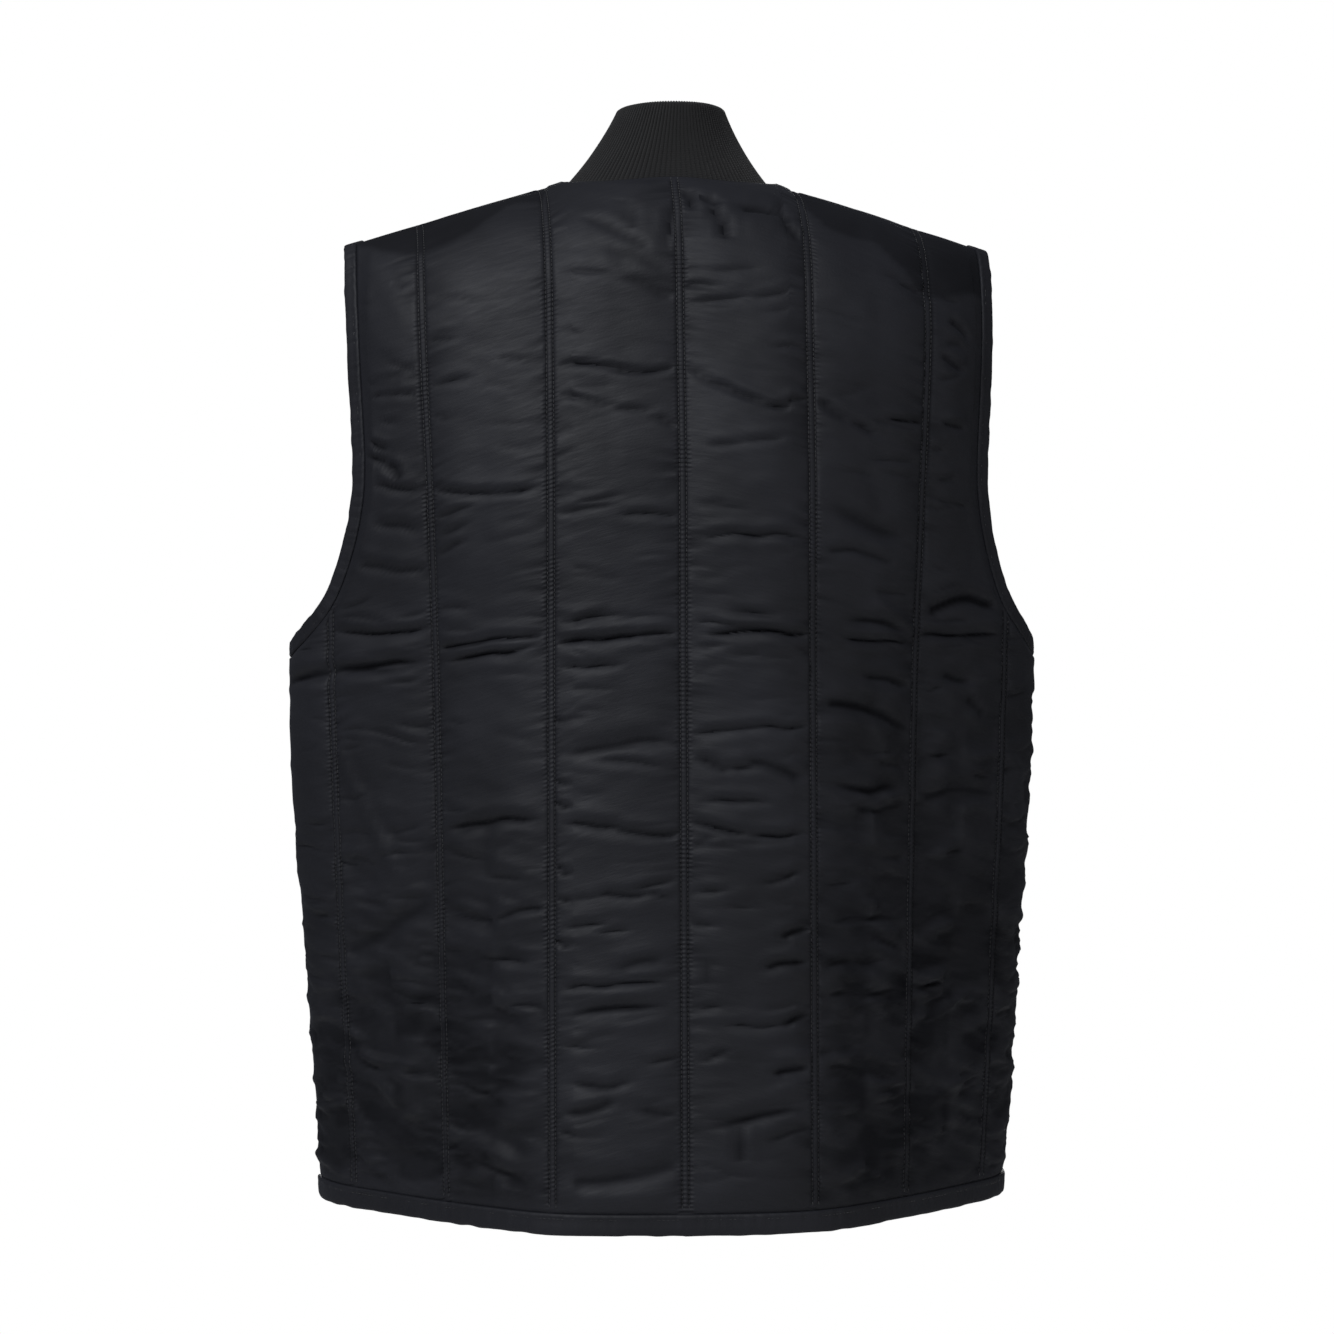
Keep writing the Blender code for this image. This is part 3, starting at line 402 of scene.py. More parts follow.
def loose_creases(count, seed, lines, low, high):
    """Short seeded creases that start at a quilting line and run into a channel, more of them low
    down and out at the sides."""
    random = np.random.default_rng(seed)
    line = random.choice(lines, count)
    side = random.choice([-1.0, 1.0], count)
    start = line + side * random.uniform(3.0, 16.0, count)
    end = start + side * random.uniform(9.0, 40.0, count)
    height = low + (high - low) * random.uniform(0.0, 1.0, count) ** 1.25
    slope = random.normal(0.0, 0.2, count) * np.abs(end - start)
    calm = np.where(np.abs(line) < 100, 0.5, 1.0)
    depth = random.uniform(0.5, 1.8, count) * calm
    bow = random.normal(0.0, 1.2, count)
    half_width = random.uniform(1.7, 3.4, count)
    return np.stack([start, height, end, height + slope, bow, depth, half_width], axis=1)


def crumpled(tape, height, line, seed):
    """Two kinds of crumple, each the size of an uneven surface so that it folds sharply where the
    surface crosses 0: slanting dents of two sizes, and pleats that zigzag across a channel."""
    lean = tape / 44.0 + height / 61.0
    dents = np.abs(ripple(lean + 7.3 * line, height / 27.0 - tape / 90.0, seed + 11))
    dents += 0.5 * np.abs(ripple(lean * 2.1, height / 13.0 + tape / 50.0, seed + 12))
    zigzag = 0.5 * ripple(tape / 9.0, height / 30.0, seed + 14) + tape / 70.0
    return dents, np.abs(ripple(tape / 30.0 + 5.3 * line, height / 7.5 + zigzag, seed + 15))


def cloth_relief(face, tape, rise, edge, creases, seed):
    """Thickness of the padded cloth and the painted shade on it. The thickness is a puffed channel, two
    needle grooves with a raised strip at each quilting line, pinched puckers beside it, slow
    unevenness, crumple low at the sides, and the creases. The painted shade, which darkens the cloth's
    colour, is the deepest of creases, needle grooves, hollows of the crumple and puckers, and the
    pressed cloth on the shoulders."""
    distance = np.abs(tape)
    first = np.clip((distance - face.first_line) / (PITCH - face.first_line), 0.0, 1.0)
    place = np.where(distance < PITCH, first, (distance / PITCH) % 1.0)
    puff = 1.0 - np.abs(2.0 * place - 1.0) ** PUFF_POWER
    pressed = RIDGE_PUFF + (1.0 - RIDGE_PUFF) * smooth(-rise / RIDGE_REACH)
    height = face.height(tape, rise)
    line = np.round(tape / PITCH)
    off = tape - line * PITCH
    quilted = np.where((line == 0) & (face.first_line > 0), 0.0, 1.0) * smooth((edge - 0.1) / 0.5)
    needles = np.exp(-(((np.abs(off) - NEEDLE_SPACING) / NEEDLE_HALF) ** 2))
    strip = np.exp(-((off / STRIP_HALF) ** 4))
    side = line * 4 + (off > 0) * 2
    uneven = wander(rise / 24.0 + side * 211.0, seed + 5)
    reach = PUCKER_REACH + 5.0 * uneven
    fan = rise + off * 0.35 * wander(rise / 31.0 + side * 97.0, seed + 6)
    pinch = wander(fan / PUCKER_PITCH + side * 57.0, seed + 7)
    pinch += 0.6 * wander(fan / (PUCKER_PITCH / 2) + side * 83.0, seed + 8)
    beside = smooth((np.abs(off) - 1.6) / 2.4) * np.exp(-np.abs(off) / reach)
    slow = ripple(tape / 34.0 + 9.1 * line, height / 19.0, seed + 9)
    slow += 0.5 * ripple(tape / 15.0, height / 8.0, seed + 10)
    dents, pleats = crumpled(tape, height, line, seed)
    relief, crease_shade = crease_relief(tape, height, creases, seed)
    thick = SEAM_WALL + PUFF * puff * edge * pressed
    thick += quilted * (STRIP_RISE * strip - NEEDLE_DEPTH * needles + (1.0 + 0.4 * uneven) * pinch * beside)
    starts_at = np.where(tape > 0, CRUMPLED_BELOW_RIGHT, CRUMPLED_BELOW_LEFT)
    low_side = smooth((starts_at - height) / 220.0) * smooth((distance - 70.0) / 60.0)
    slow = slow * (0.5 + 0.9 * low_side) - (0.7 + 3.6 * low_side) * dents - 2.1 * low_side * pleats
    thick -= EDGE_DIP * np.exp(-((edge / 0.03) ** 2))
    thick += edge * (slow * smooth(puff / 0.5) * pressed + relief * (1.0 - 0.75 * quilted * strip))
    # Painted shade in the creases, less on the raised strip, and in the needle grooves
    shade = np.maximum(crease_shade * edge * (1.0 - 0.7 * quilted * strip), 0.8 * quilted * needles)
    # Painted shade in the hollows of the crumple low at the sides, and in the valleys of the puckers
    hollow_shade = 0.34 * smooth((dents - 0.25) / 0.5) + 0.2 * smooth((pleats - 0.15) / 0.4)
    hollow_shade *= low_side * edge * (0.4 + 0.6 * smooth((-430.0 - height) / 160.0))
    hollow_shade += 0.5 * quilted * np.clip(-pinch, 0.0, 1.0) * beside
    # Above this line the shoulders get painted shade, and the cloth there is pressed down by up to 1 mm
    pressed_line = np.interp(tape, SHOULDER_SHADE[:, 0], SHOULDER_SHADE[:, 1])
    pressed_line += 3.0 * wander(tape / 17.0, seed + 13)
    on_shoulder = smooth((height - pressed_line) / 7.0) * (face.sign < 0)
    thick -= on_shoulder * edge
    shade = np.maximum(shade, np.maximum(hollow_shade, 0.5 * on_shoulder))
    return np.maximum(thick, THINNEST_WALL), shade


def spline(points, count):
    """A Catmull-Rom curve through points, and evenly many places along it."""
    ends = np.vstack([2 * points[0] - points[1], points, 2 * points[-1] - points[-2]])
    t = np.linspace(0.0, 1.0, 13)[:-1, None]
    runs = []
    for a, b, c, d in zip(ends[:-3], ends[1:-2], ends[2:-1], ends[3:]):
        bend = (2 * a - 5 * b + 4 * c - d) * t**2 + (3 * b - a - 3 * c + d) * t**3
        runs.append(0.5 * (2 * b + (c - a) * t + bend))
    return evenly(np.vstack(runs + [points[-1:]]), count)


def run_along(curve):
    """How far each point of a line lies along it: the running sum of the steps between points."""
    return np.concatenate([[0.0], np.cumsum(np.linalg.norm(np.diff(curve, axis=0), axis=1))])


def places_along(curve, at):
    """Places at given distances along a line of points, read linearly between them."""
    run = run_along(curve)
    return np.stack([np.interp(at, run, axis) for axis in curve.T], axis=1)


def evenly(curve, count):
    """Places at even distances along a line of points."""
    return places_along(curve, np.linspace(0.0, run_along(curve)[-1], count))


def armhole_edge(face):
    """Tape and rise along the panel's armhole edge, and the direction from it to the open edge."""
    table = np.vstack([(face.side(UNDERARM), UNDERARM), face.armhole])
    places = np.stack([table[:, 0], face.rise(table[:, 0], table[:, 1])], axis=1)
    places[-1, 1] = 0.0
    curve = spline(places, ARMHOLE_COUNT)
    ahead = unit(np.gradient(curve, axis=0))
    out = np.stack([ahead[:, 1], -ahead[:, 0]], axis=1)
    blend = np.linspace(0.0, 1.0, ARMHOLE_COUNT)[:, None]
    out = out + (np.array([0.0, 1.0]) - out) * np.clip(1 - blend / 0.06, 0, 1)
    out = out + (np.array([1.0, 0.0]) - out) * np.clip(1 - (1 - blend) / 0.1, 0, 1)
    out = unit(out)
    return curve - out * (ARM_BAND_WIDTH + SEAM_GAP), out


NEAR_LINE = np.array([0.0, 1.3, 2.3, 3.3, 5.2, 9.2])
BETWEEN_LINES = np.linspace(NEAR_LINE[-1], PITCH - NEAR_LINE[-1], 14)[1:-1]
LINE_TO_LINE = np.concatenate([NEAR_LINE, BETWEEN_LINES, PITCH - NEAR_LINE[::-1]])
NECK_COLUMNS = np.array([67.5, 70.5, 72.6, 73.9])


def panel_grid(face, row_count):
    """Tape and rise of half a panel, from the centre line out and from the hem up. Columns keep to
    the quilting lines, and past the second line they close up as the armhole cuts into the channel."""
    t = np.linspace(0.0, 1.0, row_count + 1)[:, None]
    first = np.sort(np.concatenate([LINE_TO_LINE[LINE_TO_LINE < 66.0], NECK_COLUMNS, PITCH - NEAR_LINE]))
    centre = np.concatenate([first[:-1], PITCH + LINE_TO_LINE])
    bottom, top = face.hem_rise(centre), face.neck_rise(centre)
    centre_rise = bottom - bottom * t + top * t**6
    centre_tape = np.broadcast_to(centre, centre_rise.shape)

    edge, out = armhole_edge(face)
    level = face.rise(np.array([2 * PITCH]), face.height(edge[:1, 0], edge[:1, 1]))
    turn = int(np.argmin(np.abs(centre_rise[:, -1] - level)))
    hem_corner = face.hem_rise(np.array([face.side(HEM_BACK)]))[0]
    side_rise = hem_corner + (edge[0, 1] - hem_corner) * np.linspace(0.0, 1.0, turn + 1)
    side_tape = face.side(face.height(np.full_like(side_rise, face.side(HEM_BACK)), side_rise))
    arm = np.hstack([face.point(edge[:, 0], edge[:, 1]), edge, out])
    arm = evenly(arm, row_count - turn + 1)[1:, 3:]
    border_tape = np.concatenate([side_tape, arm[:, 0]])[:, None]
    border_rise = np.concatenate([side_rise, arm[:, 1]])[:, None]

    line = np.minimum(LAST_CHANNEL, border_tape - 10.0)
    inner = 2 * PITCH + LINE_TO_LINE[1:] * (line - 2 * PITCH) / PITCH
    tight = np.minimum(1.0, (border_tape - line) / 30.0)
    close = line + NEAR_LINE[1:] * tight
    last = close[:, -1:] + (border_tape - close[:, -1:]) * np.linspace(0.0, 1.0, 10)[1:]
    outer_tape = np.hstack([inner, close, last])
    share = (outer_tape - 2 * PITCH) / (border_tape - 2 * PITCH)
    outer_rise = centre_rise[:, -1:] + share * (border_rise - centre_rise[:, -1:])
    outer_rise = outer_rise + (face.hem_rise(outer_tape[0]) - outer_rise[0]) * (1.0 - t) ** 4
    band = {"tape": border_tape[turn:, 0], "rise": border_rise[turn:, 0],
            "out": np.vstack([out[:1], arm[:, 2:4]])}
    return np.hstack([centre_tape, outer_tape]), np.hstack([centre_rise, outer_rise]), band


def edge_fade(points):
    """How far each grid point is from the panel's edges, eased from 0 at the edge to 1."""
    up_steps = np.linalg.norm(np.diff(points, axis=0), axis=2)
    side_steps = np.linalg.norm(np.diff(points, axis=1), axis=2)
    rows = np.cumsum(np.pad(up_steps, ((1, 0), (0, 0))), axis=0)
    columns = np.cumsum(np.pad(side_steps, ((0, 0), (1, 0))), axis=1)
    nearest_row = np.minimum(rows, rows[-1:] - rows)
    nearest_column = np.minimum(columns, columns[:, -1:] - columns)
    return smooth(np.minimum(nearest_row, nearest_column) / HARD_EDGE)


def cloth_mesh(name, points, faces, finish, cloth_uv=None, shade=None):
    """Makes a piece from points in millimetres and lists of point numbers, its faces turned out.
    The cloth's coordinates come one for each point, or one for each corner of each face in turn."""
    points = np.asarray(points, float) * MM
    sizes = np.array([len(face) for face in faces])
    starts = np.concatenate([[0], np.cumsum(sizes)[:-1]])
    corners = np.concatenate([np.asarray(face, np.int64) for face in faces])
    if cloth_uv is not None and len(cloth_uv) != len(corners):
        cloth_uv = cloth_uv[corners]
    fan = np.repeat(corners[starts], sizes)
    following = np.roll(corners, -1)
    last = np.zeros(len(corners), bool)
    last[starts + sizes - 1] = True
    triangle = np.stack([points[fan], points[corners], points[following]], axis=1)[~last]
    if np.linalg.det(triangle).sum() < 0:
        backwards = np.repeat(2 * starts + sizes - 1, sizes) - np.arange(len(corners))
        corners = corners[backwards]
        cloth_uv = None if cloth_uv is None else cloth_uv[backwards]
    mesh = bpy.data.meshes.new(name)
    mesh.vertices.add(len(points))
    mesh.vertices.foreach_set("co", points.ravel())
    mesh.loops.add(len(corners))
    mesh.loops.foreach_set("vertex_index", corners)
    mesh.polygons.add(len(sizes))
    mesh.polygons.foreach_set("loop_start", starts)
    mesh.polygons.foreach_set("loop_total", sizes)
    mesh.update(calc_edges=True)
    if cloth_uv is not None:
        mesh.uv_layers.new(name="cloth").data.foreach_set("uv", (cloth_uv * MM).ravel())
    # The painted shade goes on each point as an attribute, which darkens the cloth's colour
    if shade is not None:
        mesh.attributes.new("painted_shade", "FLOAT", "POINT").data.foreach_set("value", shade)
    mesh.materials.append(finish)
    mesh.shade_smooth()
    mesh.set_sharp_from_angle(angle=np.radians(62))
    piece = bpy.data.objects.new(name, mesh)
    bpy.context.scene.collection.objects.link(piece)
    return piece


def grid_faces(index):
    """The four-sided faces of a grid of point numbers."""
    corners = (index[:-1, :-1], index[:-1, 1:], index[1:, 1:], index[1:, :-1])
    return list(np.stack(corners, axis=-1).reshape(-1, 4))


def coarse_faces(index, step):
    """Faces at every step of a grid, which still use each point on the grid's edge."""
    row_stops = np.append(np.arange(0, index.shape[0] - 1, step), index.shape[0] - 1)
    column_stops = np.append(np.arange(0, index.shape[1] - 1, step), index.shape[1] - 1)
    faces = []
    for low, high in zip(row_stops[:-1], row_stops[1:]):
        for left, right in zip(column_stops[:-1], column_stops[1:]):
            bottom = index[low, left : right + 1 : 1 if low == 0 else right - left]
            top = index[high, left : right + 1 : 1 if high == index.shape[0] - 1 else right - left]
            near = index[low : high + 1 : 1 if left == 0 else high - low, left]
            far = index[low : high + 1 : 1 if right == index.shape[1] - 1 else high - low, right]
            faces.append(np.concatenate([bottom[:-1], far[:-1], top[:0:-1], near[:0:-1]])[::-1])
    return faces


def cloth_wall(name, face, tape, rise, creases, seed, finish):
    """A panel as a closed wall: the padded outside, a plain inside and a rim between them."""
    inner = face.point(tape, rise)
    edge = edge_fade(inner)
    thick, shade = cloth_relief(face, tape, rise, edge, creases, seed)
    outer = inner + face.normal(tape, rise) * thick[..., None]
    index = np.arange(tape.size).reshape(tape.shape)
    inside = index + tape.size
    around = np.concatenate([index[0, :-1], index[:-1, -1], index[-1, :0:-1], index[:0:-1, 0]])
    following = np.roll(around, -1)
    rim = np.stack([around, around + tape.size, following + tape.size, following], axis=1)
    faces = grid_faces(index) + coarse_faces(inside, INSIDE_STEP) + list(rim)
    points = np.vstack([outer.reshape(-1, 3), inner.reshape(-1, 3)])
    cloth_uv = np.tile(np.stack([tape.ravel(), rise.ravel()], axis=1), (2, 1))
    shade = np.concatenate([shade.ravel(), np.zeros(tape.size)])
    return cloth_mesh(name, points, faces, finish, cloth_uv, shade), outer


def node_in(tree, kind, inputs=None, **settings):
    """Adds a shader node, and links or sets each named input."""
    made = tree.nodes.new("ShaderNode" + kind)
    for name, value in settings.items():
        setattr(made, name, value)
    for name, value in (inputs or {}).items():
        if isinstance(value, bpy.types.NodeSocket):
            tree.links.new(value, made.inputs[name])
        else:
            made.inputs[name].default_value = value
    return made


def maths(tree, operation, *values):
    """The result of a Math node on one, two or three values."""
    return node_in(tree, "Math", dict(enumerate(values)), operation=operation).outputs[0]


def plus(tree, total, part, times):
    """A total with a part added, times a factor."""
    return maths(tree, "ADD", total, maths(tree, "MULTIPLY", part, times))


def wave(tree, value, pitch, shift=0.0):
    """A sine wave of a value, one turn for each pitch, begun at a shift."""
    turn = maths(tree, "MULTIPLY", value, 2 * np.pi / pitch)
    return maths(tree, "SINE", maths(tree, "ADD", turn, shift))


def noise(tree, place, scale, detail=2.0, roughness=0.5, stretch=None):
    """A noise's value at a place, which can first be stretched by a scale of its own on each axis."""
    if stretch is not None:
        place = node_in(tree, "Mapping", {"Vector": place, "Scale": stretch}).outputs[0]
    inputs = {"Vector": place, "Scale": scale, "Detail": detail, "Roughness": roughness}
    return node_in(tree, "TexNoise", inputs).outputs[0]


def spread(tree, value, source, target, shape="LINEAR"):
    """A value carried from a source range to a target range."""
    inputs = {"Value": value, "From Min": source[0], "From Max": source[1], "To Min": target[0],
              "To Max": target[1]}
    return node_in(tree, "MapRange", inputs, interpolation_type=shape).outputs[0]


def two_tones(tree, factor, dark, light, stops=(0.0, 1.0)):
    """A colour between a dark and a light tone, as a factor runs from the first stop to the last."""
    ramp = node_in(tree, "ValToRGB", {"Fac": factor})
    for element, stop, tone in zip(ramp.color_ramp.elements, stops, (dark, light)):
        element.position, element.color = stop, (*tone, 1)
    return ramp.outputs[0]


def bumped(tree, height, strength=1.0, distance=0.001):
    """A surface direction tilted by a fine relief of this height."""
    inputs = {"Height": height, "Strength": strength, "Distance": distance}
    return node_in(tree, "Bump", inputs).outputs[0]


def blank_finish(name, roughness=0.5, **uniform):
    """A new material, its tree and its shader, with each uniform value on the shader's own socket."""
    finish = bpy.data.materials.new(name)
    finish.use_nodes = True
    shader = finish.node_tree.nodes["Principled BSDF"]
    shader.inputs["Roughness"].default_value = roughness
    for socket, value in uniform.items():
        shader.inputs[socket.replace("_", " ")].default_value = value
    return finish, finish.node_tree, shader


def link_all(tree, shader, **values):
    """Links each value to the shader's socket of that name."""
    for socket, value in values.items():
        tree.links.new(value, shader.inputs[socket.replace("_", " ")])


WEAVE_PITCH = 0.0011
PINCH_PITCH = 0.0030


def nylon_finish(name, quilted):
    """Black navy taffeta: satin and unevenly dusty, with painted shade that darkens it and dims its
    reflection in creases, needle grooves, hollows and on the shoulders. Bump gives the fine weave,
    small drag lines across the piece and, on quilting, the ladder of pinched cloth at each line."""
    finish, tree, shader = blank_finish(name, Sheen_Weight=0.02, Sheen_Roughness=0.4)
    shader.inputs["Sheen Tint"].default_value = (0.55, 0.62, 0.85, 1.0)
    cloth = node_in(tree, "UVMap", uv_map="cloth").outputs[0]
    across, along = node_in(tree, "SeparateXYZ", {"Vector": cloth}).outputs[:2]
    painted_shade = node_in(tree, "Attribute", attribute_name="painted_shade").outputs["Fac"]
    slow = noise(tree, cloth, 9.0, 4.0, 0.6)
    drag = noise(tree, cloth, 1.0, 4.0, 0.62, stretch=(55.0, 330.0, 1.0))
    fine = noise(tree, cloth, 620.0)
    weave = maths(tree, "MULTIPLY", wave(tree, across, WEAVE_PITCH), wave(tree, along, WEAVE_PITCH))
    bump = maths(tree, "MULTIPLY", maths(tree, "SUBTRACT", drag, 0.5), 0.28)
    bump = plus(tree, bump, fine, 0.09)
    bump = plus(tree, bump, weave, 0.018)
    if quilted:
        turns = maths(tree, "ADD", maths(tree, "DIVIDE", across, PITCH * MM), 0.5)
        off = maths(tree, "ABSOLUTE", maths(tree, "SUBTRACT", maths(tree, "FRACT", turns), 0.5))
        near = spread(tree, off, (0.040, 0.080), (1.0, 0.0), "SMOOTHSTEP")
        patch = noise(tree, cloth, 1.0, 1.0, stretch=(11.0, 26.0, 1.0))
        patch = spread(tree, patch, (0.38, 0.62), (0.0, 1.0))
        rung = wave(tree, along, PINCH_PITCH, maths(tree, "MULTIPLY", slow, 20.0))
        ladder = maths(tree, "MULTIPLY", maths(tree, "MULTIPLY", rung, near), patch)
        bump = plus(tree, bump, ladder, 0.26)
    tone = two_tones(tree, slow, (0.0085, 0.0088, 0.0118), (0.0150, 0.0155, 0.0205), (0.32, 0.72))
    # Painted shade: the colour is mixed toward near black by the painted shade from the cloth's points
    dark = node_in(tree, "Mix", {"Factor": maths(tree, "MULTIPLY", painted_shade, 0.85), "A": tone,
                                 "B": (0.002, 0.002, 0.0025, 1)}, data_type="RGBA")
    gloss = plus(tree, spread(tree, drag, (0.3, 0.7), (0.56, 0.68)), painted_shade, 0.35)
    # Painted shade also dims the reflection: the specular level falls from 0.30 to 0.03
    shine = spread(tree, painted_shade, (0.0, 1.0), (0.30, 0.03))
    link_all(tree, shader, Base_Color=dark.outputs["Result"], Roughness=gloss,
             Specular_IOR_Level=shine, Normal=bumped(tree, bump))
    return finish


def thread_finish():
    """Black polyester thread: a dull sheen, and a fine slanting twist from a wave on its place,
    with painted shade in the grooves of the twist.
    """
    finish, tree, shader = blank_finish("black_thread", 0.62, Sheen_Weight=0.2)
    place = node_in(tree, "TexCoord").outputs["Object"]
    twist = node_in(tree, "TexWave", {"Vector": place, "Scale": 700.0, "Distortion": 1.0},
                    bands_direction="DIAGONAL").outputs["Fac"]
    # Painted shade: the same wave as the bump makes the twist's grooves darker
    tone = two_tones(tree, twist, (0.006, 0.006, 0.008), (0.018, 0.018, 0.022))
    link_all(tree, shader, Base_Color=tone, Normal=bumped(tree, twist, 0.5, 0.0002))
    return finish


STITCH_PITCH = 3.2
STITCH_LENGTH = 2.6
STITCH_WIDE = 0.30
STITCH_END = 0.35
FIRST_STITCH = 2.0
LINE_STOP = 4.0


def stitches(name, lines, finish):
    """Rows of stitches: each is a short low lozenge, three rings of four points about a seam line,
    sized from its two ends to its middle."""
    starts, ends = [], []
    for line in lines:
        at = np.arange(FIRST_STITCH, run_along(line)[-1] - STITCH_PITCH, STITCH_PITCH)
        starts.append(places_along(line, at))
        ends.append(places_along(line, at + STITCH_LENGTH))
    starts, ends = np.vstack(starts), np.vstack(ends)
    ahead = unit(ends - starts)
    across = unit(np.cross(ahead, np.roll(ahead, 1, axis=1) + np.array([0.31, 0.67, 0.11])))
    up = np.cross(ahead, across)
    turn = np.arange(4)[None, :, None] * np.pi / 2
    circle = (np.cos(turn) * across[:, None] + np.sin(turn) * up[:, None]) * STITCH_WIDE
    middles = (starts + ends) / 2
    rings = [starts[:, None] + circle * STITCH_END, middles[:, None] + circle,
             ends[:, None] + circle * STITCH_END]
    points = np.concatenate(rings, axis=1).reshape(-1, 3)
    one = np.arange(12).reshape(3, 4)
    beside = np.roll(one, -1, axis=1)
    sides = np.stack([one[:-1], beside[:-1], beside[1:], one[1:]], axis=-1)
    shape = np.vstack([sides.reshape(-1, 4), one[0][None, ::-1], one[-1][None]])
    faces = (np.arange(len(starts)) * 12)[:, None, None] + shape[None]
    return cloth_mesh(name, points, list(faces.reshape(-1, 4)), finish)


def needle_lines(outer, inner, tape, lines):
    """Lines along the needle grooves, each read between the two grid columns beside it and lifted a
    little off the cloth. A line stops LINE_STOP short of the panel's edges."""
    rows, found = np.arange(len(tape)), []
    for groove in np.concatenate([lines - NEEDLE_SPACING, lines + NEEDLE_SPACING]):
        left = np.clip((tape < groove).sum(axis=1) - 1, 0, tape.shape[1] - 2)
        share = ((groove - tape[rows, left]) / (tape[rows, left + 1] - tape[rows, left]))[:, None]
        lifted = outer + (outer - inner) * 0.08
        strand = lifted[rows, left] * (1 - share) + lifted[rows, left + 1] * share
        on_panel = (tape[:, 0] + LINE_STOP < groove) & (groove < tape[:, -1] - LINE_STOP)
        kept = on_panel.nonzero()[0][2:-2]
        if len(kept) > 4:
            found.append(strand[kept])
    return found


BACK = WornFace("back", sign=-1.0, cap=85.0, neck=54.0, armhole=ARMHOLE_BACK, first_line=0.0)
quilted_nylon = nylon_finish("quilted_nylon", quilted=True)
thread = thread_finish()

half_tape, half_rise, back_arm = panel_grid(BACK, ROW_COUNT)
back_tape = np.hstack([-half_tape[:, :0:-1], half_tape])
back_rise = np.hstack([half_rise[:, :0:-1], half_rise])
lines_across = np.arange(-3, 4) * PITCH
loose = loose_creases(LOOSE_CREASES, 11, lines_across, LOOSE_LOW, -70.0)
back_panel, back_outer = cloth_wall("back_panel_cloth", BACK, back_tape, back_rise,
                                    np.vstack([BACK_CREASES, loose]), 40, quilted_nylon)
grooves = needle_lines(back_outer, BACK.point(back_tape, back_rise), back_tape, lines_across)
back_stitches = stitches("back_quilting_stitches", grooves, thread)
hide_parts("back_panel")
for piece in (back_panel, back_stitches):
    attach(piece, "root")

# Front panels
# Two pieces of the same quilted nylon, which meet edge to edge at the centre line. They hang from
# the shoulder seams, turn in softly at the waist, and have creases of their own, low at the hem.
FRONT_CREASES = np.array([
    # The wearer's right
    (94, -150, 140, -158, 1, 2.0, 3), (130, -172, 168, -166, -1, 2.4, 3),
    (30, -196, 70, -204, 1, 1.8, 3), (184, -226, 214, -240, 0, 3.0, 3.4),
    (182, -254, 224, -276, 2, 3.2, 4), (96, -262, 150, -274, 2, 2.4, 3.4),
    (28, -292, 62, -286, 0, 2.0, 3), (94, -316, 171, -326, -2, 4.2, 4),
    (100, -332, 150, -341, 1, 2.8, 3.4), (182, -318, 256, -334, 3, 4.4, 4.4),
    (186, -346, 232, -338, 0, 3.0, 4), (30, -328, 84, -318, 2, 3.4, 3.4),
    (22, -372, 58, -380, 1, 2.4, 3.2), (98, -402, 160, -390, 3, 3.0, 4.4),
    (184, -404, 240, -416, -3, 3.6, 5), (44, -430, 84, -422, 0, 2.6, 3.4),
    (96, -446, 132, -452, 1, 3.2, 3.6), (184, -462, 258, -448, -4, 4.4, 6),
    (24, -482, 66, -492, 2, 2.8, 3.6), (104, -498, 170, -486, 3, 3.8, 5),
    (186, -508, 226, -520, 0, 3.0, 4), (30, -540, 82, -530, -2, 3.2, 4),
    (96, -552, 150, -564, 2, 3.6, 5), (190, -560, 254, -548, 3, 4.4, 9),
    (22, -588, 56, -594, 0, 2.4, 3.4), (98, -598, 170, -588, -3, 4.6, 9),
    (184, -604, 244, -622, -2, 4.4, 10), (26, -634, 84, -652, -4, 4.2, 8),
    (98, -652, 166, -636, -5, 4.8, 9), (186, -648, 252, -666, -3, 4.8, 10),
    (108, -676, 158, -670, 0, 3.0, 5), (34, -676, 74, -668, 0, 2.6, 5),
    # The wearer's left
    (-168, -146, -128, -152, 1, 2.2, 3), (-84, -170, -40, -164, 1, 1.8, 3),
    (-128, -206, -94, -200, 0, 2.4, 3), (-212, -214, -184, -206, 0, 2.8, 3.2),
    (-82, -238, -48, -246, 1, 2.0, 3), (-224, -262, -182, -250, -2, 3.4, 4),
    (-172, -288, -118, -280, 2, 2.8, 3.6), (-84, -306, -24, -300, 1, 3.0, 3.4),
    (-256, -322, -184, -312, 3, 4.6, 4.6), (-170, -330, -96, -318, -2, 4.4, 4),
    (-60, -342, -22, -336, 0, 2.4, 3), (-236, -352, -190, -360, 1, 2.8, 4),
    (-166, -372, -110, -384, 3, 3.2, 4.4), (-82, -396, -36, -388, -1, 2.8, 3.6),
    (-256, -400, -190, -390, -4, 4.0, 6), (-172, -424, -138, -430, 0, 3.0, 3.6),
    (-80, -450, -26, -440, 2, 3.2, 4), (-160, -468, -98, -456, -3, 3.8, 5),
    (-254, -476, -184, -490, 4, 4.6, 7), (-60, -500, -22, -508, 0, 2.4, 3.4),
    (-172, -520, -104, -532, 3, 4.2, 6), (-84, -548, -30, -540, 2, 3.4, 4),
    (-250, -540, -196, -528, -2, 3.8, 8), (-168, -574, -112, -566, -2, 3.6, 6),
    (-76, -604, -24, -612, -3, 3.4, 6), (-248, -596, -184, -584, 4, 4.8, 10),
    (-166, -622, -98, -640, -4, 4.8, 9), (-246, -650, -188, -634, -3, 4.6, 10),
    (-82, -656, -26, -646, 3, 4.0, 7), (-158, -674, -104, -680, 0, 3.0, 5),
], dtype=float)

FRONT_ROW_COUNT = 480
PLACKET_HALF = 16.4
FRONT = WornFace("front", sign=1.0, cap=125.0, neck=84.0, armhole=ARMHOLE_FRONT,
                 first_line=PLACKET_HALF)

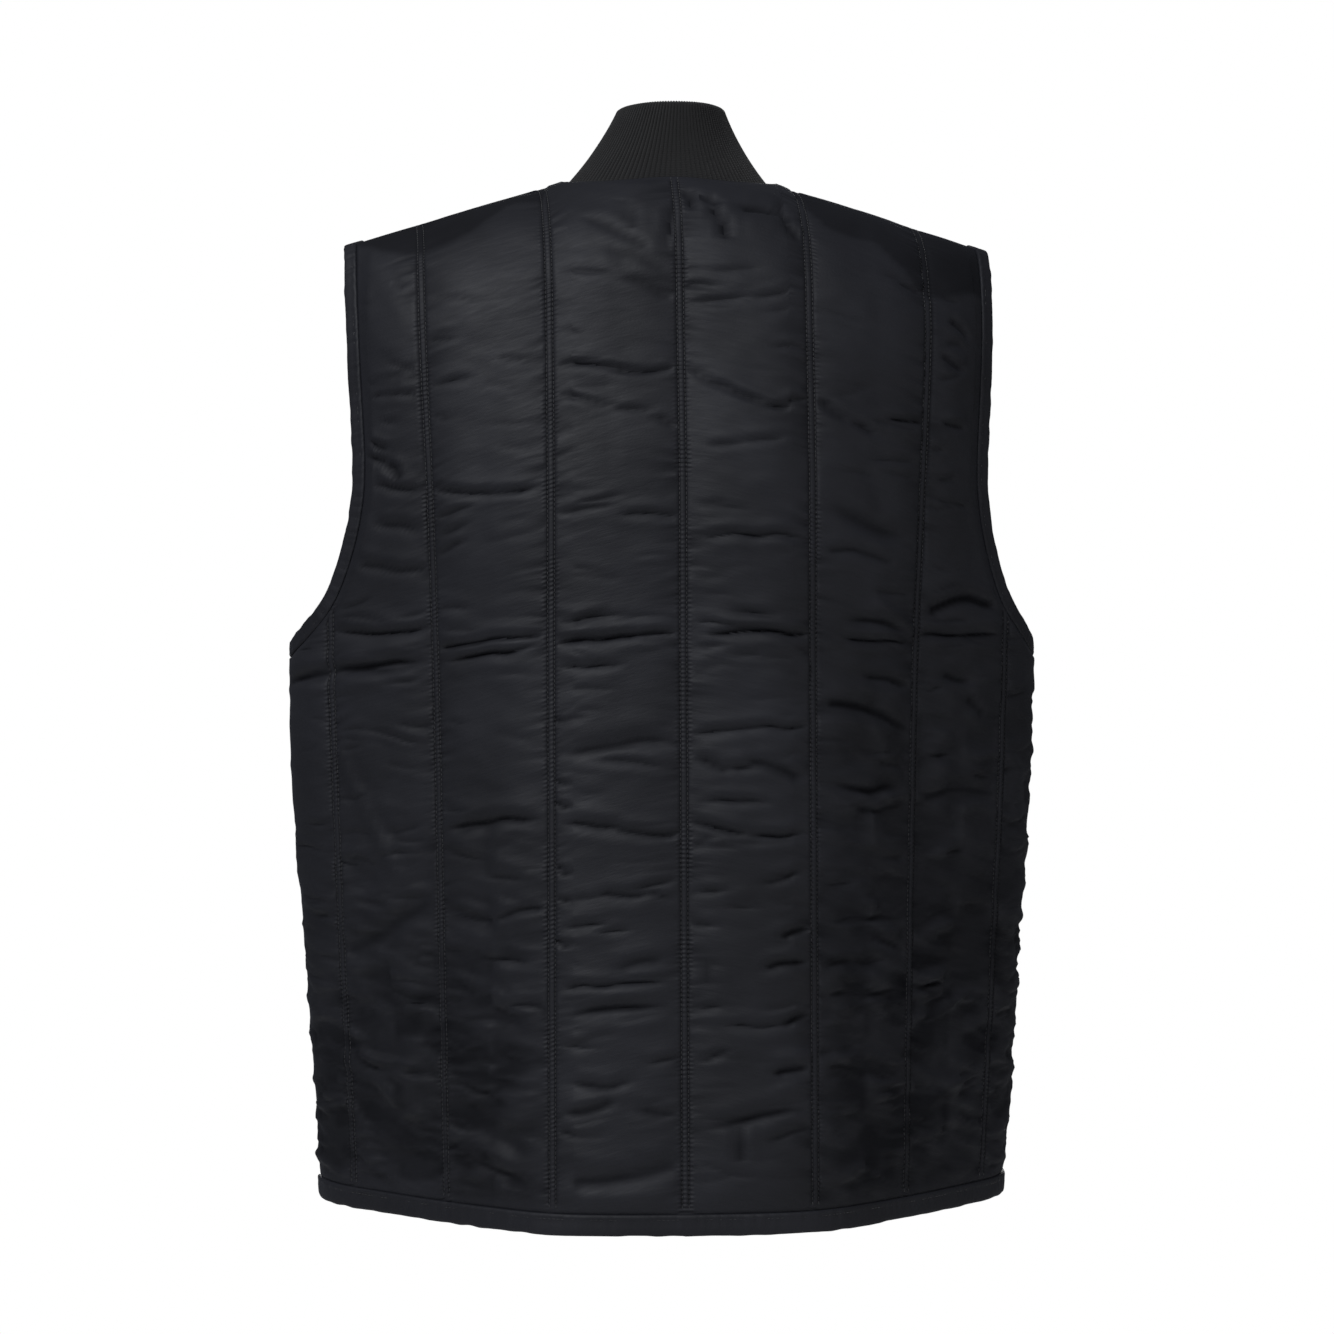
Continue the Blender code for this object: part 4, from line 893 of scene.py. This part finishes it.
half_tape, half_rise, front_arm = panel_grid(FRONT, FRONT_ROW_COUNT)
half_tape = np.maximum(half_tape, SEAM_GAP / 2)
for side_name, mirror, seed in (("right", 1.0, 61), ("left", -1.0, 83)):
    front_lines = mirror * PITCH * np.arange(1, 4)
    loose = loose_creases(LOOSE_CREASES // 2, seed, front_lines, LOOSE_LOW, -110.0)
    front_tape = half_tape[:, :: int(mirror)] * mirror
    front_rise = half_rise[:, :: int(mirror)]
    front_panel, front_outer = cloth_wall(f"front_{side_name}_cloth", FRONT, front_tape, front_rise,
                                          np.vstack([FRONT_CREASES, loose]), seed, quilted_nylon)
    grooves = needle_lines(front_outer, FRONT.point(front_tape, front_rise), front_tape, front_lines)
    front_stitches = stitches(f"front_{side_name}_quilting_stitches", grooves, thread)
    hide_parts(f"front_{side_name}")
    for piece in (front_panel, front_stitches):
        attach(piece, "root")

# Armhole bindings
# A straight strip of unpadded nylon, folded in half round each armhole's raw edge and topstitched
# beside the seam. Easing it round the curve has left small puckers along it.
BAND_CORNERS = 40
BAND_SQUARENESS = 0.42
BAND_STEP = 1.7
TOPSTITCH_IN = 2.6
TOPSTITCH_SINK = 0.55
TOPSTITCH_GROOVE = 0.45
BAND_PUCKER = 0.45
SEAM_OVERLAP = 0.9


def strip_mesh(name, sections, closed, finish):
    """A closed profile carried along its stations, with flat caps at the ends unless it's a loop.
    The cloth's u runs round the profile and its v along the strip, both in real lengths."""
    stations, corners = sections.shape[:2]
    laps = stations if closed else stations - 1
    run = np.linalg.norm(np.diff(sections, axis=0), axis=2).mean() * np.arange(laps + 1)
    middle = sections[stations // 2]
    girth = run_along(np.vstack([middle, middle[:1]]))
    i, j = np.arange(laps)[:, None], np.arange(corners)[None, :]
    steps = ((0, 0), (0, 1), (1, 1), (1, 0))
    quads = np.stack([((i + a) % stations) * corners + (j + b) % corners for a, b in steps], axis=-1)
    u = np.stack([np.broadcast_to(girth[j + b], (laps, corners)) for _, b in steps], axis=-1)
    v = np.stack([np.broadcast_to(run[i + a], (laps, corners)) for a, _ in steps], axis=-1)
    faces, cloth_uv = list(quads.reshape(-1, 4)), np.stack([u, v], axis=-1).reshape(-1, 2)
    if not closed:
        index = np.arange(stations * corners).reshape(stations, corners)
        faces += [index[0], index[-1, ::-1]]
        caps = np.stack([np.tile(girth[:-1], 2), np.repeat(run[[0, -1]], corners)], axis=1)
        cloth_uv = np.vstack([cloth_uv, caps])
    return cloth_mesh(name, sections.reshape(-1, 3), faces, finish, cloth_uv)


def squared_off(corners, squareness):
    """A closed oblong with round corners, from -1 to 1 each way: a circle's cosine and sine, each
    raised to the power squareness with its sign kept."""
    turn = np.linspace(0.0, 2 * np.pi, corners, endpoint=False)
    return [np.sign(side) * np.abs(side) ** squareness for side in (np.cos(turn), np.sin(turn))]


def folded_profile(width, low, high, corners):
    """A folded strip's profile, a squared-off circle: distance from the seam and height above the
    cloth's inside."""
    across, up = squared_off(corners, BAND_SQUARENESS)
    middle, half = (width + SEAM_GAP - SEAM_OVERLAP) / 2, (width + SEAM_GAP + SEAM_OVERLAP) / 2
    return middle + half * across, (low + high) / 2 + (high - low) / 2 * up


def band_places(face, tape, rise, out, width, lift):
    """Points beside a panel's edge: width out from it along the surface and lift above the inside."""
    limit = face.side(face.height(tape, rise))[:, None]
    place = np.minimum(tape[:, None] + out[:, :1] * width, limit)
    level = np.minimum(rise[:, None] + out[:, 1:] * width, 0.0)
    return face.point(place, level) + face.normal(place, level) * lift[..., None]


def band_sections(face, tape, rise, out, size, seed):
    """A band's profile at each place on a panel's edge, with a groove at its topstitching and
    seeded puckers across its top, strongest at the groove. Size is the band's width, and the
    heights of its lowest and highest places over the cloth's inside."""
    width, low, high = size
    across, lift = folded_profile(width, low, high, BAND_CORNERS)
    run = np.arange(len(tape)) * BAND_STEP
    top = (lift > (low + high) / 2)[None, :] * 1.0
    groove = np.exp(-(((across - TOPSTITCH_IN) / 0.7) ** 2))[None, :] * top
    pucker = wander(run / 2.9, seed) + 0.7 * wander(run / 6.3, seed + 1)
    near = np.exp(-np.abs(across - TOPSTITCH_IN) / 4.0)[None, :] * top
    lifts = lift[None, :] - TOPSTITCH_GROOVE * groove + BAND_PUCKER * pucker[:, None] * near
    outer_edge = (across > width * 0.8)[None, :]
    widths = across[None, :] + 0.5 * wander(run / 9.0, seed + 2)[:, None] * outer_edge
    stitch = np.full((len(tape), 1), TOPSTITCH_IN)
    sunk = np.full_like(stitch, high - TOPSTITCH_SINK)
    thread_line = band_places(face, tape, rise, out, stitch, sunk)
    return band_places(face, tape, rise, out, widths, lifts), thread_line[:, 0]


binding_nylon = nylon_finish("binding_nylon", quilted=False)
for side_name, mirror, seed in (("right", 1.0, 131), ("left", -1.0, 157)):
    size = (ARM_BAND_WIDTH, -0.6, 4.2)
    loop, seam = [], []
    for face, arm, order in ((BACK, back_arm, slice(None)), (FRONT, front_arm, slice(-2, 0, -1))):
        sections, line = band_sections(face, arm["tape"], arm["rise"], arm["out"], size, seed)
        loop.append(sections[order])
        seam.append(line[order])
    turned_over = np.array([mirror, 1.0, 1.0])
    ring = np.concatenate(loop) * turned_over
    binding = strip_mesh(f"armhole_binding_{side_name}", ring, True, binding_nylon)
    seam = np.concatenate(seam) * turned_over
    topstitches = stitches(f"armhole_topstitches_{side_name}", [seam], thread)
    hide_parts(f"armhole_band_{side_name}")
    for piece in (binding, topstitches):
        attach(piece, "root")

# Hem binding
# A wider strip of the same nylon folded round the lower edge, from one front edge round the back to
# the other. One row of topstitches holds it, just below the seam.
HEM_COUNT = 190


def hem_path(face, seed):
    """Half of the hem band, from the centre line to the side seam."""
    tape = np.linspace(0.0, face.side(np.array([HEM_BACK]))[0], HEM_COUNT)
    down = np.tile([0.0, -1.0], (len(tape), 1))
    return band_sections(face, tape, face.hem_rise(tape), down, (HEM_WIDTH, -0.8, 4.8), seed)


flipped = np.array([-1.0, 1.0, 1.0])
front_half, front_line = hem_path(FRONT, 173)
back_half, back_line = hem_path(BACK, 179)
back_left, back_left_line = hem_path(BACK, 191)
front_half, front_line = front_half[:-1], front_line[:-1]
front_half[0, :, 0] -= SEAM_GAP / 2
hem = [front_half, back_half[::-1], back_left[1:] * flipped, front_half[::-1] * flipped]
hem_seam = [front_line, back_line[::-1], back_left_line[1:] * flipped, front_line[::-1] * flipped]
hem_binding = strip_mesh("hem_binding", np.concatenate(hem), False, binding_nylon)
hem_topstitches = stitches("hem_topstitches", [np.concatenate(hem_seam)], thread)
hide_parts("hem_band")
for piece in (hem_binding, hem_topstitches):
    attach(piece, "root")

# Collar
# A standing band of black rib knit, folded double along its top edge and sewn to the neck with its
# ribs upright. It is wide at the seam, drawn in halfway up, and lower at the throat, where it is open.
COLLAR_TOP_HALF = 36.5
COLLAR_TOP_SHIFT = 3.0
COLLAR_TOP_BACK = -45.0
COLLAR_TOP_FRONT = 58.0
COLLAR_TOP_HEIGHT = 53.0
COLLAR_FRONT_DROP = 62.0
COLLAR_WALL = 4.0
COLLAR_SEAT = 1.0
COLLAR_DRAWN_IN = 3.2
FOLD_RIB = 0.8
RIB_COUNT = 116
RIB_COLUMNS = 8
RIB_RAISE = 0.48
RIB_SQUARENESS = 0.7
COURSE_PITCH = 0.0013
FRONT_SLIT = 0.03


def collar_sections():
    """The collar's profile at each station round the neck: up the outside, over the fold as a half
    circle, and down the inside. A rib is a power of a cosine's size across each pitch."""
    phase = np.linspace(0.0, RIB_COUNT, RIB_COUNT * RIB_COLUMNS + 1)
    angle = np.pi - FRONT_SLIT - phase / RIB_COUNT * 2 * (np.pi - FRONT_SLIT)
    side, ahead = np.sin(angle), -np.cos(angle)
    base = np.empty((len(angle), 3))
    for face in (BACK, FRONT):
        chosen = (ahead > 0) == (face.sign > 0)
        tape = NECK_HALF * side[chosen]
        base[chosen] = face.point(tape, face.neck_rise(tape))
    inward = np.stack([-side, -ahead, np.zeros_like(side)], axis=1)
    base = base + (inward - np.array([0.0, 0.0, 1.0])) * COLLAR_SEAT
    middle = (COLLAR_TOP_FRONT + COLLAR_TOP_BACK) / 2
    reach = (COLLAR_TOP_FRONT - COLLAR_TOP_BACK) / 2
    height = COLLAR_TOP_HEIGHT - COLLAR_FRONT_DROP * smooth((ahead + 0.1) / 1.1)
    top = np.stack([COLLAR_TOP_SHIFT + COLLAR_TOP_HALF * side, middle + reach * ahead, height], axis=1)
    rise = unit(top - base)
    top = top - rise * COLLAR_WALL / 2
    uneven = 1.0 + 0.25 * wander(phase / 5.0, 211)
    rib = RIB_RAISE * (2.0 * np.abs(np.cos(np.pi * phase)) ** RIB_SQUARENESS - 1.0) * uneven

    def ring_at(row, out):
        """One ring between base and top, moved outward by out and drawn in as half a sine wave."""
        uneven_waist = 0.5 * wander(phase / 11.0 + row * 2.0, 223) - COLLAR_DRAWN_IN
        slack = np.sin(np.pi * row) * uneven_waist
        return base * (1 - row) + top * row - inward * (out + slack)[:, None]

    rings = [ring_at(row, rib * smooth(row / 0.08)) for row in np.linspace(0.0, 1.0, 22)]
    for turn in np.linspace(0.0, np.pi, 9)[1:]:
        radius = (COLLAR_WALL / 2 + rib * FOLD_RIB)[:, None]
        away = rise * np.sin(turn) - inward * np.cos(turn)
        rings.append(top + inward * COLLAR_WALL / 2 + radius * away)
    for row in np.linspace(1.0, 0.0, 16)[1:]:
        rings.append(ring_at(row, -COLLAR_WALL - rib * FOLD_RIB * smooth(row / 0.15)))
    return np.stack(rings, axis=1)


def rib_finish(rib_width):
    """Black rib knit: matte and a little hairy, with painted shade between its ribs and, faintly,
    between its rows. Bump gives rows of small V stitches, a sine up the rib that leans either way
    from the rib's middle."""
    finish, tree, shader = blank_finish("rib_knit", 0.88, Sheen_Weight=0.12, Sheen_Roughness=0.6,
                                        Specular_IOR_Level=0.2)
    cloth = node_in(tree, "UVMap", uv_map="cloth").outputs[0]
    up, across = node_in(tree, "SeparateXYZ", {"Vector": cloth}).outputs[:2]
    turn = maths(tree, "MULTIPLY", across, np.pi / (rib_width * MM))
    rib = maths(tree, "ABSOLUTE", maths(tree, "COSINE", turn))
    row = wave(tree, up, COURSE_PITCH, maths(tree, "MULTIPLY", rib, 2.4))
    place = node_in(tree, "TexCoord").outputs["Object"]
    fuzz = noise(tree, place, 900.0, 3.0)
    slow = noise(tree, place, 34.0, 3.0)
    # Painted shade: the tone is darkest between the ribs and between the rows, plus a slow random tone
    level = plus(tree, maths(tree, "MULTIPLY", rib, 0.6), slow, 0.5)
    level = plus(tree, level, row, 0.05)
    tone = two_tones(tree, level, (0.0036, 0.0036, 0.0040), (0.0112, 0.0109, 0.0112), (0.15, 0.85))
    bump = plus(tree, maths(tree, "MULTIPLY", row, 0.08), fuzz, 0.28)
    link_all(tree, shader, Base_Color=tone, Normal=bumped(tree, bump))
    return finish


collar_rings = collar_sections()
collar_length = np.linalg.norm(np.diff(collar_rings, axis=0), axis=2).mean() * (len(collar_rings) - 1)
collar = strip_mesh("rib_collar", collar_rings, False, rib_finish(collar_length / RIB_COUNT))
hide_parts("collar")
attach(collar, "root")

# Placket
# A narrow flap of nylon over the meeting front edges, with a row of topstitches near each side. The
# snaps pull small puckers into it at their heights.
PLACKET_WALL = 2.4
PLACKET_SQUARENESS = 0.5
PLACKET_COUNT = 400
PLACKET_CORNERS = 44
PLACKET_STITCH = 12.6
PLACKET_STITCH_SINK = 0.45
SNAP_PULL = 17.0
CENTRE_TAPE = 0.01
SNAP_HEIGHTS = (-100.0, -214.0, -328.0, -442.0, -556.0, -664.0)


def up_the_front(tape, share):
    """The rise at a share of the way from the hem to the neck, in a straight line."""
    low, high = FRONT.hem_rise(tape), FRONT.neck_rise(tape)
    return low + (high - low) * share


share = np.linspace(0.0, 1.0, PLACKET_COUNT)
flap_across, flap_up = squared_off(PLACKET_CORNERS, PLACKET_SQUARENESS)
flap_up = 0.5 + 0.5 * flap_up
flap_tape = PLACKET_HALF * flap_across
flap_tape = np.where(np.abs(flap_tape) < CENTRE_TAPE, CENTRE_TAPE, flap_tape)[None, :]
flap_tape = flap_tape + 0.35 * wander(share * 22.0, 307)[:, None]
flap_rise = up_the_front(flap_tape, share[:, None])
flap_height = FRONT.height(flap_tape, flap_rise)
snap_near = sum(np.exp(-(((flap_height - place) / SNAP_PULL) ** 2)) for place in SNAP_HEIGHTS)
sewn = np.exp(-(((np.abs(flap_tape) - PLACKET_STITCH) / 0.9) ** 2))
gather = wander(share * 210.0, 311)[:, None] + 0.6 * wander(share * 95.0, 313)[:, None]
beside = np.exp(-np.abs(np.abs(flap_tape) - PLACKET_STITCH) / 3.5)
flap_lift = SEAM_WALL + SEAM_GAP + PLACKET_WALL * flap_up
flap_lift = flap_lift + (flap_up > 0.5) * (0.3 * gather * (beside + 0.5 * snap_near) - 0.7 * sewn)
flap = FRONT.point(flap_tape, flap_rise) + FRONT.normal(flap_tape, flap_rise) * flap_lift[..., None]
placket = strip_mesh("placket_flap", flap, False, binding_nylon)

placket_rows = []
for place in (-PLACKET_STITCH, PLACKET_STITCH):
    row_tape = np.full(PLACKET_COUNT, place)
    row_rise = up_the_front(row_tape, share)
    lift = SEAM_WALL + SEAM_GAP + PLACKET_WALL - PLACKET_STITCH_SINK
    placket_rows.append(FRONT.point(row_tape, row_rise) + FRONT.normal(row_tape, row_rise) * lift)
placket_stitches = stitches("placket_topstitches", placket_rows, thread)
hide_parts("placket")
for piece in (placket, placket_stitches):
    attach(piece, "root")

# Snap caps
# Six pressed brass caps, blackened, each with a rolled rim and a low dome.
# Their studs pass through the placket into sockets on the edge below.

# A cap's profile from its underside round the rim to the middle of its dome: radius and height
CAP_PROFILE = np.array([
    (4.2, 0.0), (7.2, 0.0), (7.5, 0.25), (7.5, 0.7), (7.25, 1.05), (6.85, 1.2), (6.45, 1.12), (6.15, 1.15),
    (5.7, 1.55), (4.9, 2.05), (3.8, 2.45), (2.5, 2.7), (1.2, 2.79), (0.4, 2.8),
])


def snap_finish():
    """Blackened brass: a slow mottling and fine scratches, from stretched noise on the piece's place."""
    finish, tree, shader = blank_finish("blackened_brass", 0.35, Metallic=0.9)
    place = node_in(tree, "TexCoord").outputs["Object"]
    mottle = noise(tree, place, 260.0, 4.0)
    scratch = noise(tree, place, 1.0, stretch=(400.0, 400.0, 3200.0))
    tone = two_tones(tree, mottle, (0.022, 0.022, 0.024), (0.065, 0.062, 0.058), (0.3, 0.75))
    gloss = spread(tree, scratch, (0.0, 1.0), (0.28, 0.52))
    link_all(tree, shader, Base_Color=tone, Roughness=gloss,
             Normal=bumped(tree, scratch, 0.3, 0.0002))
    return finish


cap_metal = snap_finish()
spin = np.linspace(0.0, 2 * np.pi, 56, endpoint=False)[:, None]
sideways = np.array([1.0, 0.0, 0.0])
cap_tape = np.array([CENTRE_TAPE])
for number, height in enumerate(SNAP_HEIGHTS, 1):
    cap_rise = FRONT.rise(cap_tape, np.array([height]))
    away = FRONT.normal(cap_tape, cap_rise)[0] * np.array([0.0, 1.0, 1.0])
    centre = FRONT.point(cap_tape, cap_rise)[0] + away * (SEAM_WALL + 2 * SEAM_GAP + PLACKET_WALL)
    circle = np.cos(spin) * sideways + np.sin(spin) * np.cross(away, sideways)
    rings = centre + away * CAP_PROFILE[:, 1, None, None] + circle[None] * CAP_PROFILE[:, 0, None, None]
    cap = strip_mesh(f"snap_cap_{number}", rings, False, cap_metal)
    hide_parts(f"snap_{number}")
    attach(cap, "root")

# Studio
# A plain pale floor well below the hanging gilet, a white surround, and soft lamps: a large one high
# behind the wearer's left shoulder, which gives the satin its shine, a weak one on the other side
# and one in front.
FLOOR_HEIGHT = -1.15
FLOOR_RADIUS = 1.35
FLOOR_CORNERS = 96
CAMERA_DISTANCE = 3.0
CAMERA_TURN = -4.75
CAMERA_HEIGHT = -0.3374
FRAME_WIDTH = 0.9338


def studio_floor():
    """A pale matte disc: a circle of points round its centre, with a faint mottling in its tone."""
    turn = np.linspace(0.0, 2 * np.pi, FLOOR_CORNERS, endpoint=False)
    points = np.stack([np.cos(turn) * FLOOR_RADIUS, np.sin(turn) * FLOOR_RADIUS,
                       np.full(FLOOR_CORNERS, FLOOR_HEIGHT)], axis=1)
    mesh = bpy.data.meshes.new("studio_floor")
    mesh.from_pydata(points.tolist(), [], [list(range(FLOOR_CORNERS))])
    finish, tree, shader = blank_finish("pale_floor", 0.8)
    place = node_in(tree, "TexCoord").outputs["Object"]
    mottle = noise(tree, place, 3.0)
    link_all(tree, shader, Base_Color=two_tones(tree, mottle, (0.80, 0.80, 0.80), (0.86, 0.86, 0.86)))
    mesh.materials.append(finish)
    floor = bpy.data.objects.new("studio_floor", mesh)
    bpy.context.scene.collection.objects.link(floor)
    return floor


def soft_lamp(name, place, aim, size, power, colour):
    """A square area lamp turned to face a point."""
    lamp = bpy.data.lights.new(name, "AREA")
    lamp.size, lamp.energy, lamp.color = size, power, colour
    made = bpy.data.objects.new(name, lamp)
    made.location = place
    made.rotation_euler = (Vector(aim) - Vector(place)).to_track_quat("-Z", "Y").to_euler()
    bpy.context.scene.collection.objects.link(made)


studio_floor()
middle = (0.0, 0.0, CAMERA_HEIGHT)
soft_lamp("key_lamp", (-1.0, -1.8, 1.4), (0.0, -0.1, -0.15), size=1.8, power=62.0,
          colour=(0.95, 0.97, 1.0))
soft_lamp("fill_lamp", (2.2, -1.6, -0.4), middle, size=1.6, power=6.0, colour=(1.0, 0.98, 0.96))
soft_lamp("front_lamp", (0.3, 3.0, -0.1), middle, size=1.8, power=60.0, colour=(1.0, 1.0, 1.0))

world = bpy.data.worlds.new("white_surround")
bpy.context.scene.world = world
world.use_nodes = True
sky = world.node_tree
sky.nodes.clear()
seen = node_in(sky, "Background", {"Color": (1, 1, 1, 1), "Strength": 1.0})
shed = node_in(sky, "Background", {"Color": (0.92, 0.95, 1, 1), "Strength": 0.1})
ray = node_in(sky, "LightPath").outputs["Is Camera Ray"]
both = node_in(sky, "MixShader", {0: ray, 1: shed.outputs[0], 2: seen.outputs[0]})
node_in(sky, "OutputWorld", {"Surface": both.outputs[0]})
bpy.context.scene.view_settings.view_transform = "Standard"

turned = np.radians(CAMERA_TURN)
camera = bpy.data.objects.new("photo_camera", bpy.data.cameras.new("photo_camera"))
camera.location = (np.sin(turned) * CAMERA_DISTANCE, -np.cos(turned) * CAMERA_DISTANCE, CAMERA_HEIGHT)
camera.rotation_euler = (np.pi / 2, 0.0, turned)
camera.data.lens = camera.data.sensor_width * CAMERA_DISTANCE / FRAME_WIDTH
bpy.context.scene.collection.objects.link(camera)
bpy.context.scene.camera = camera
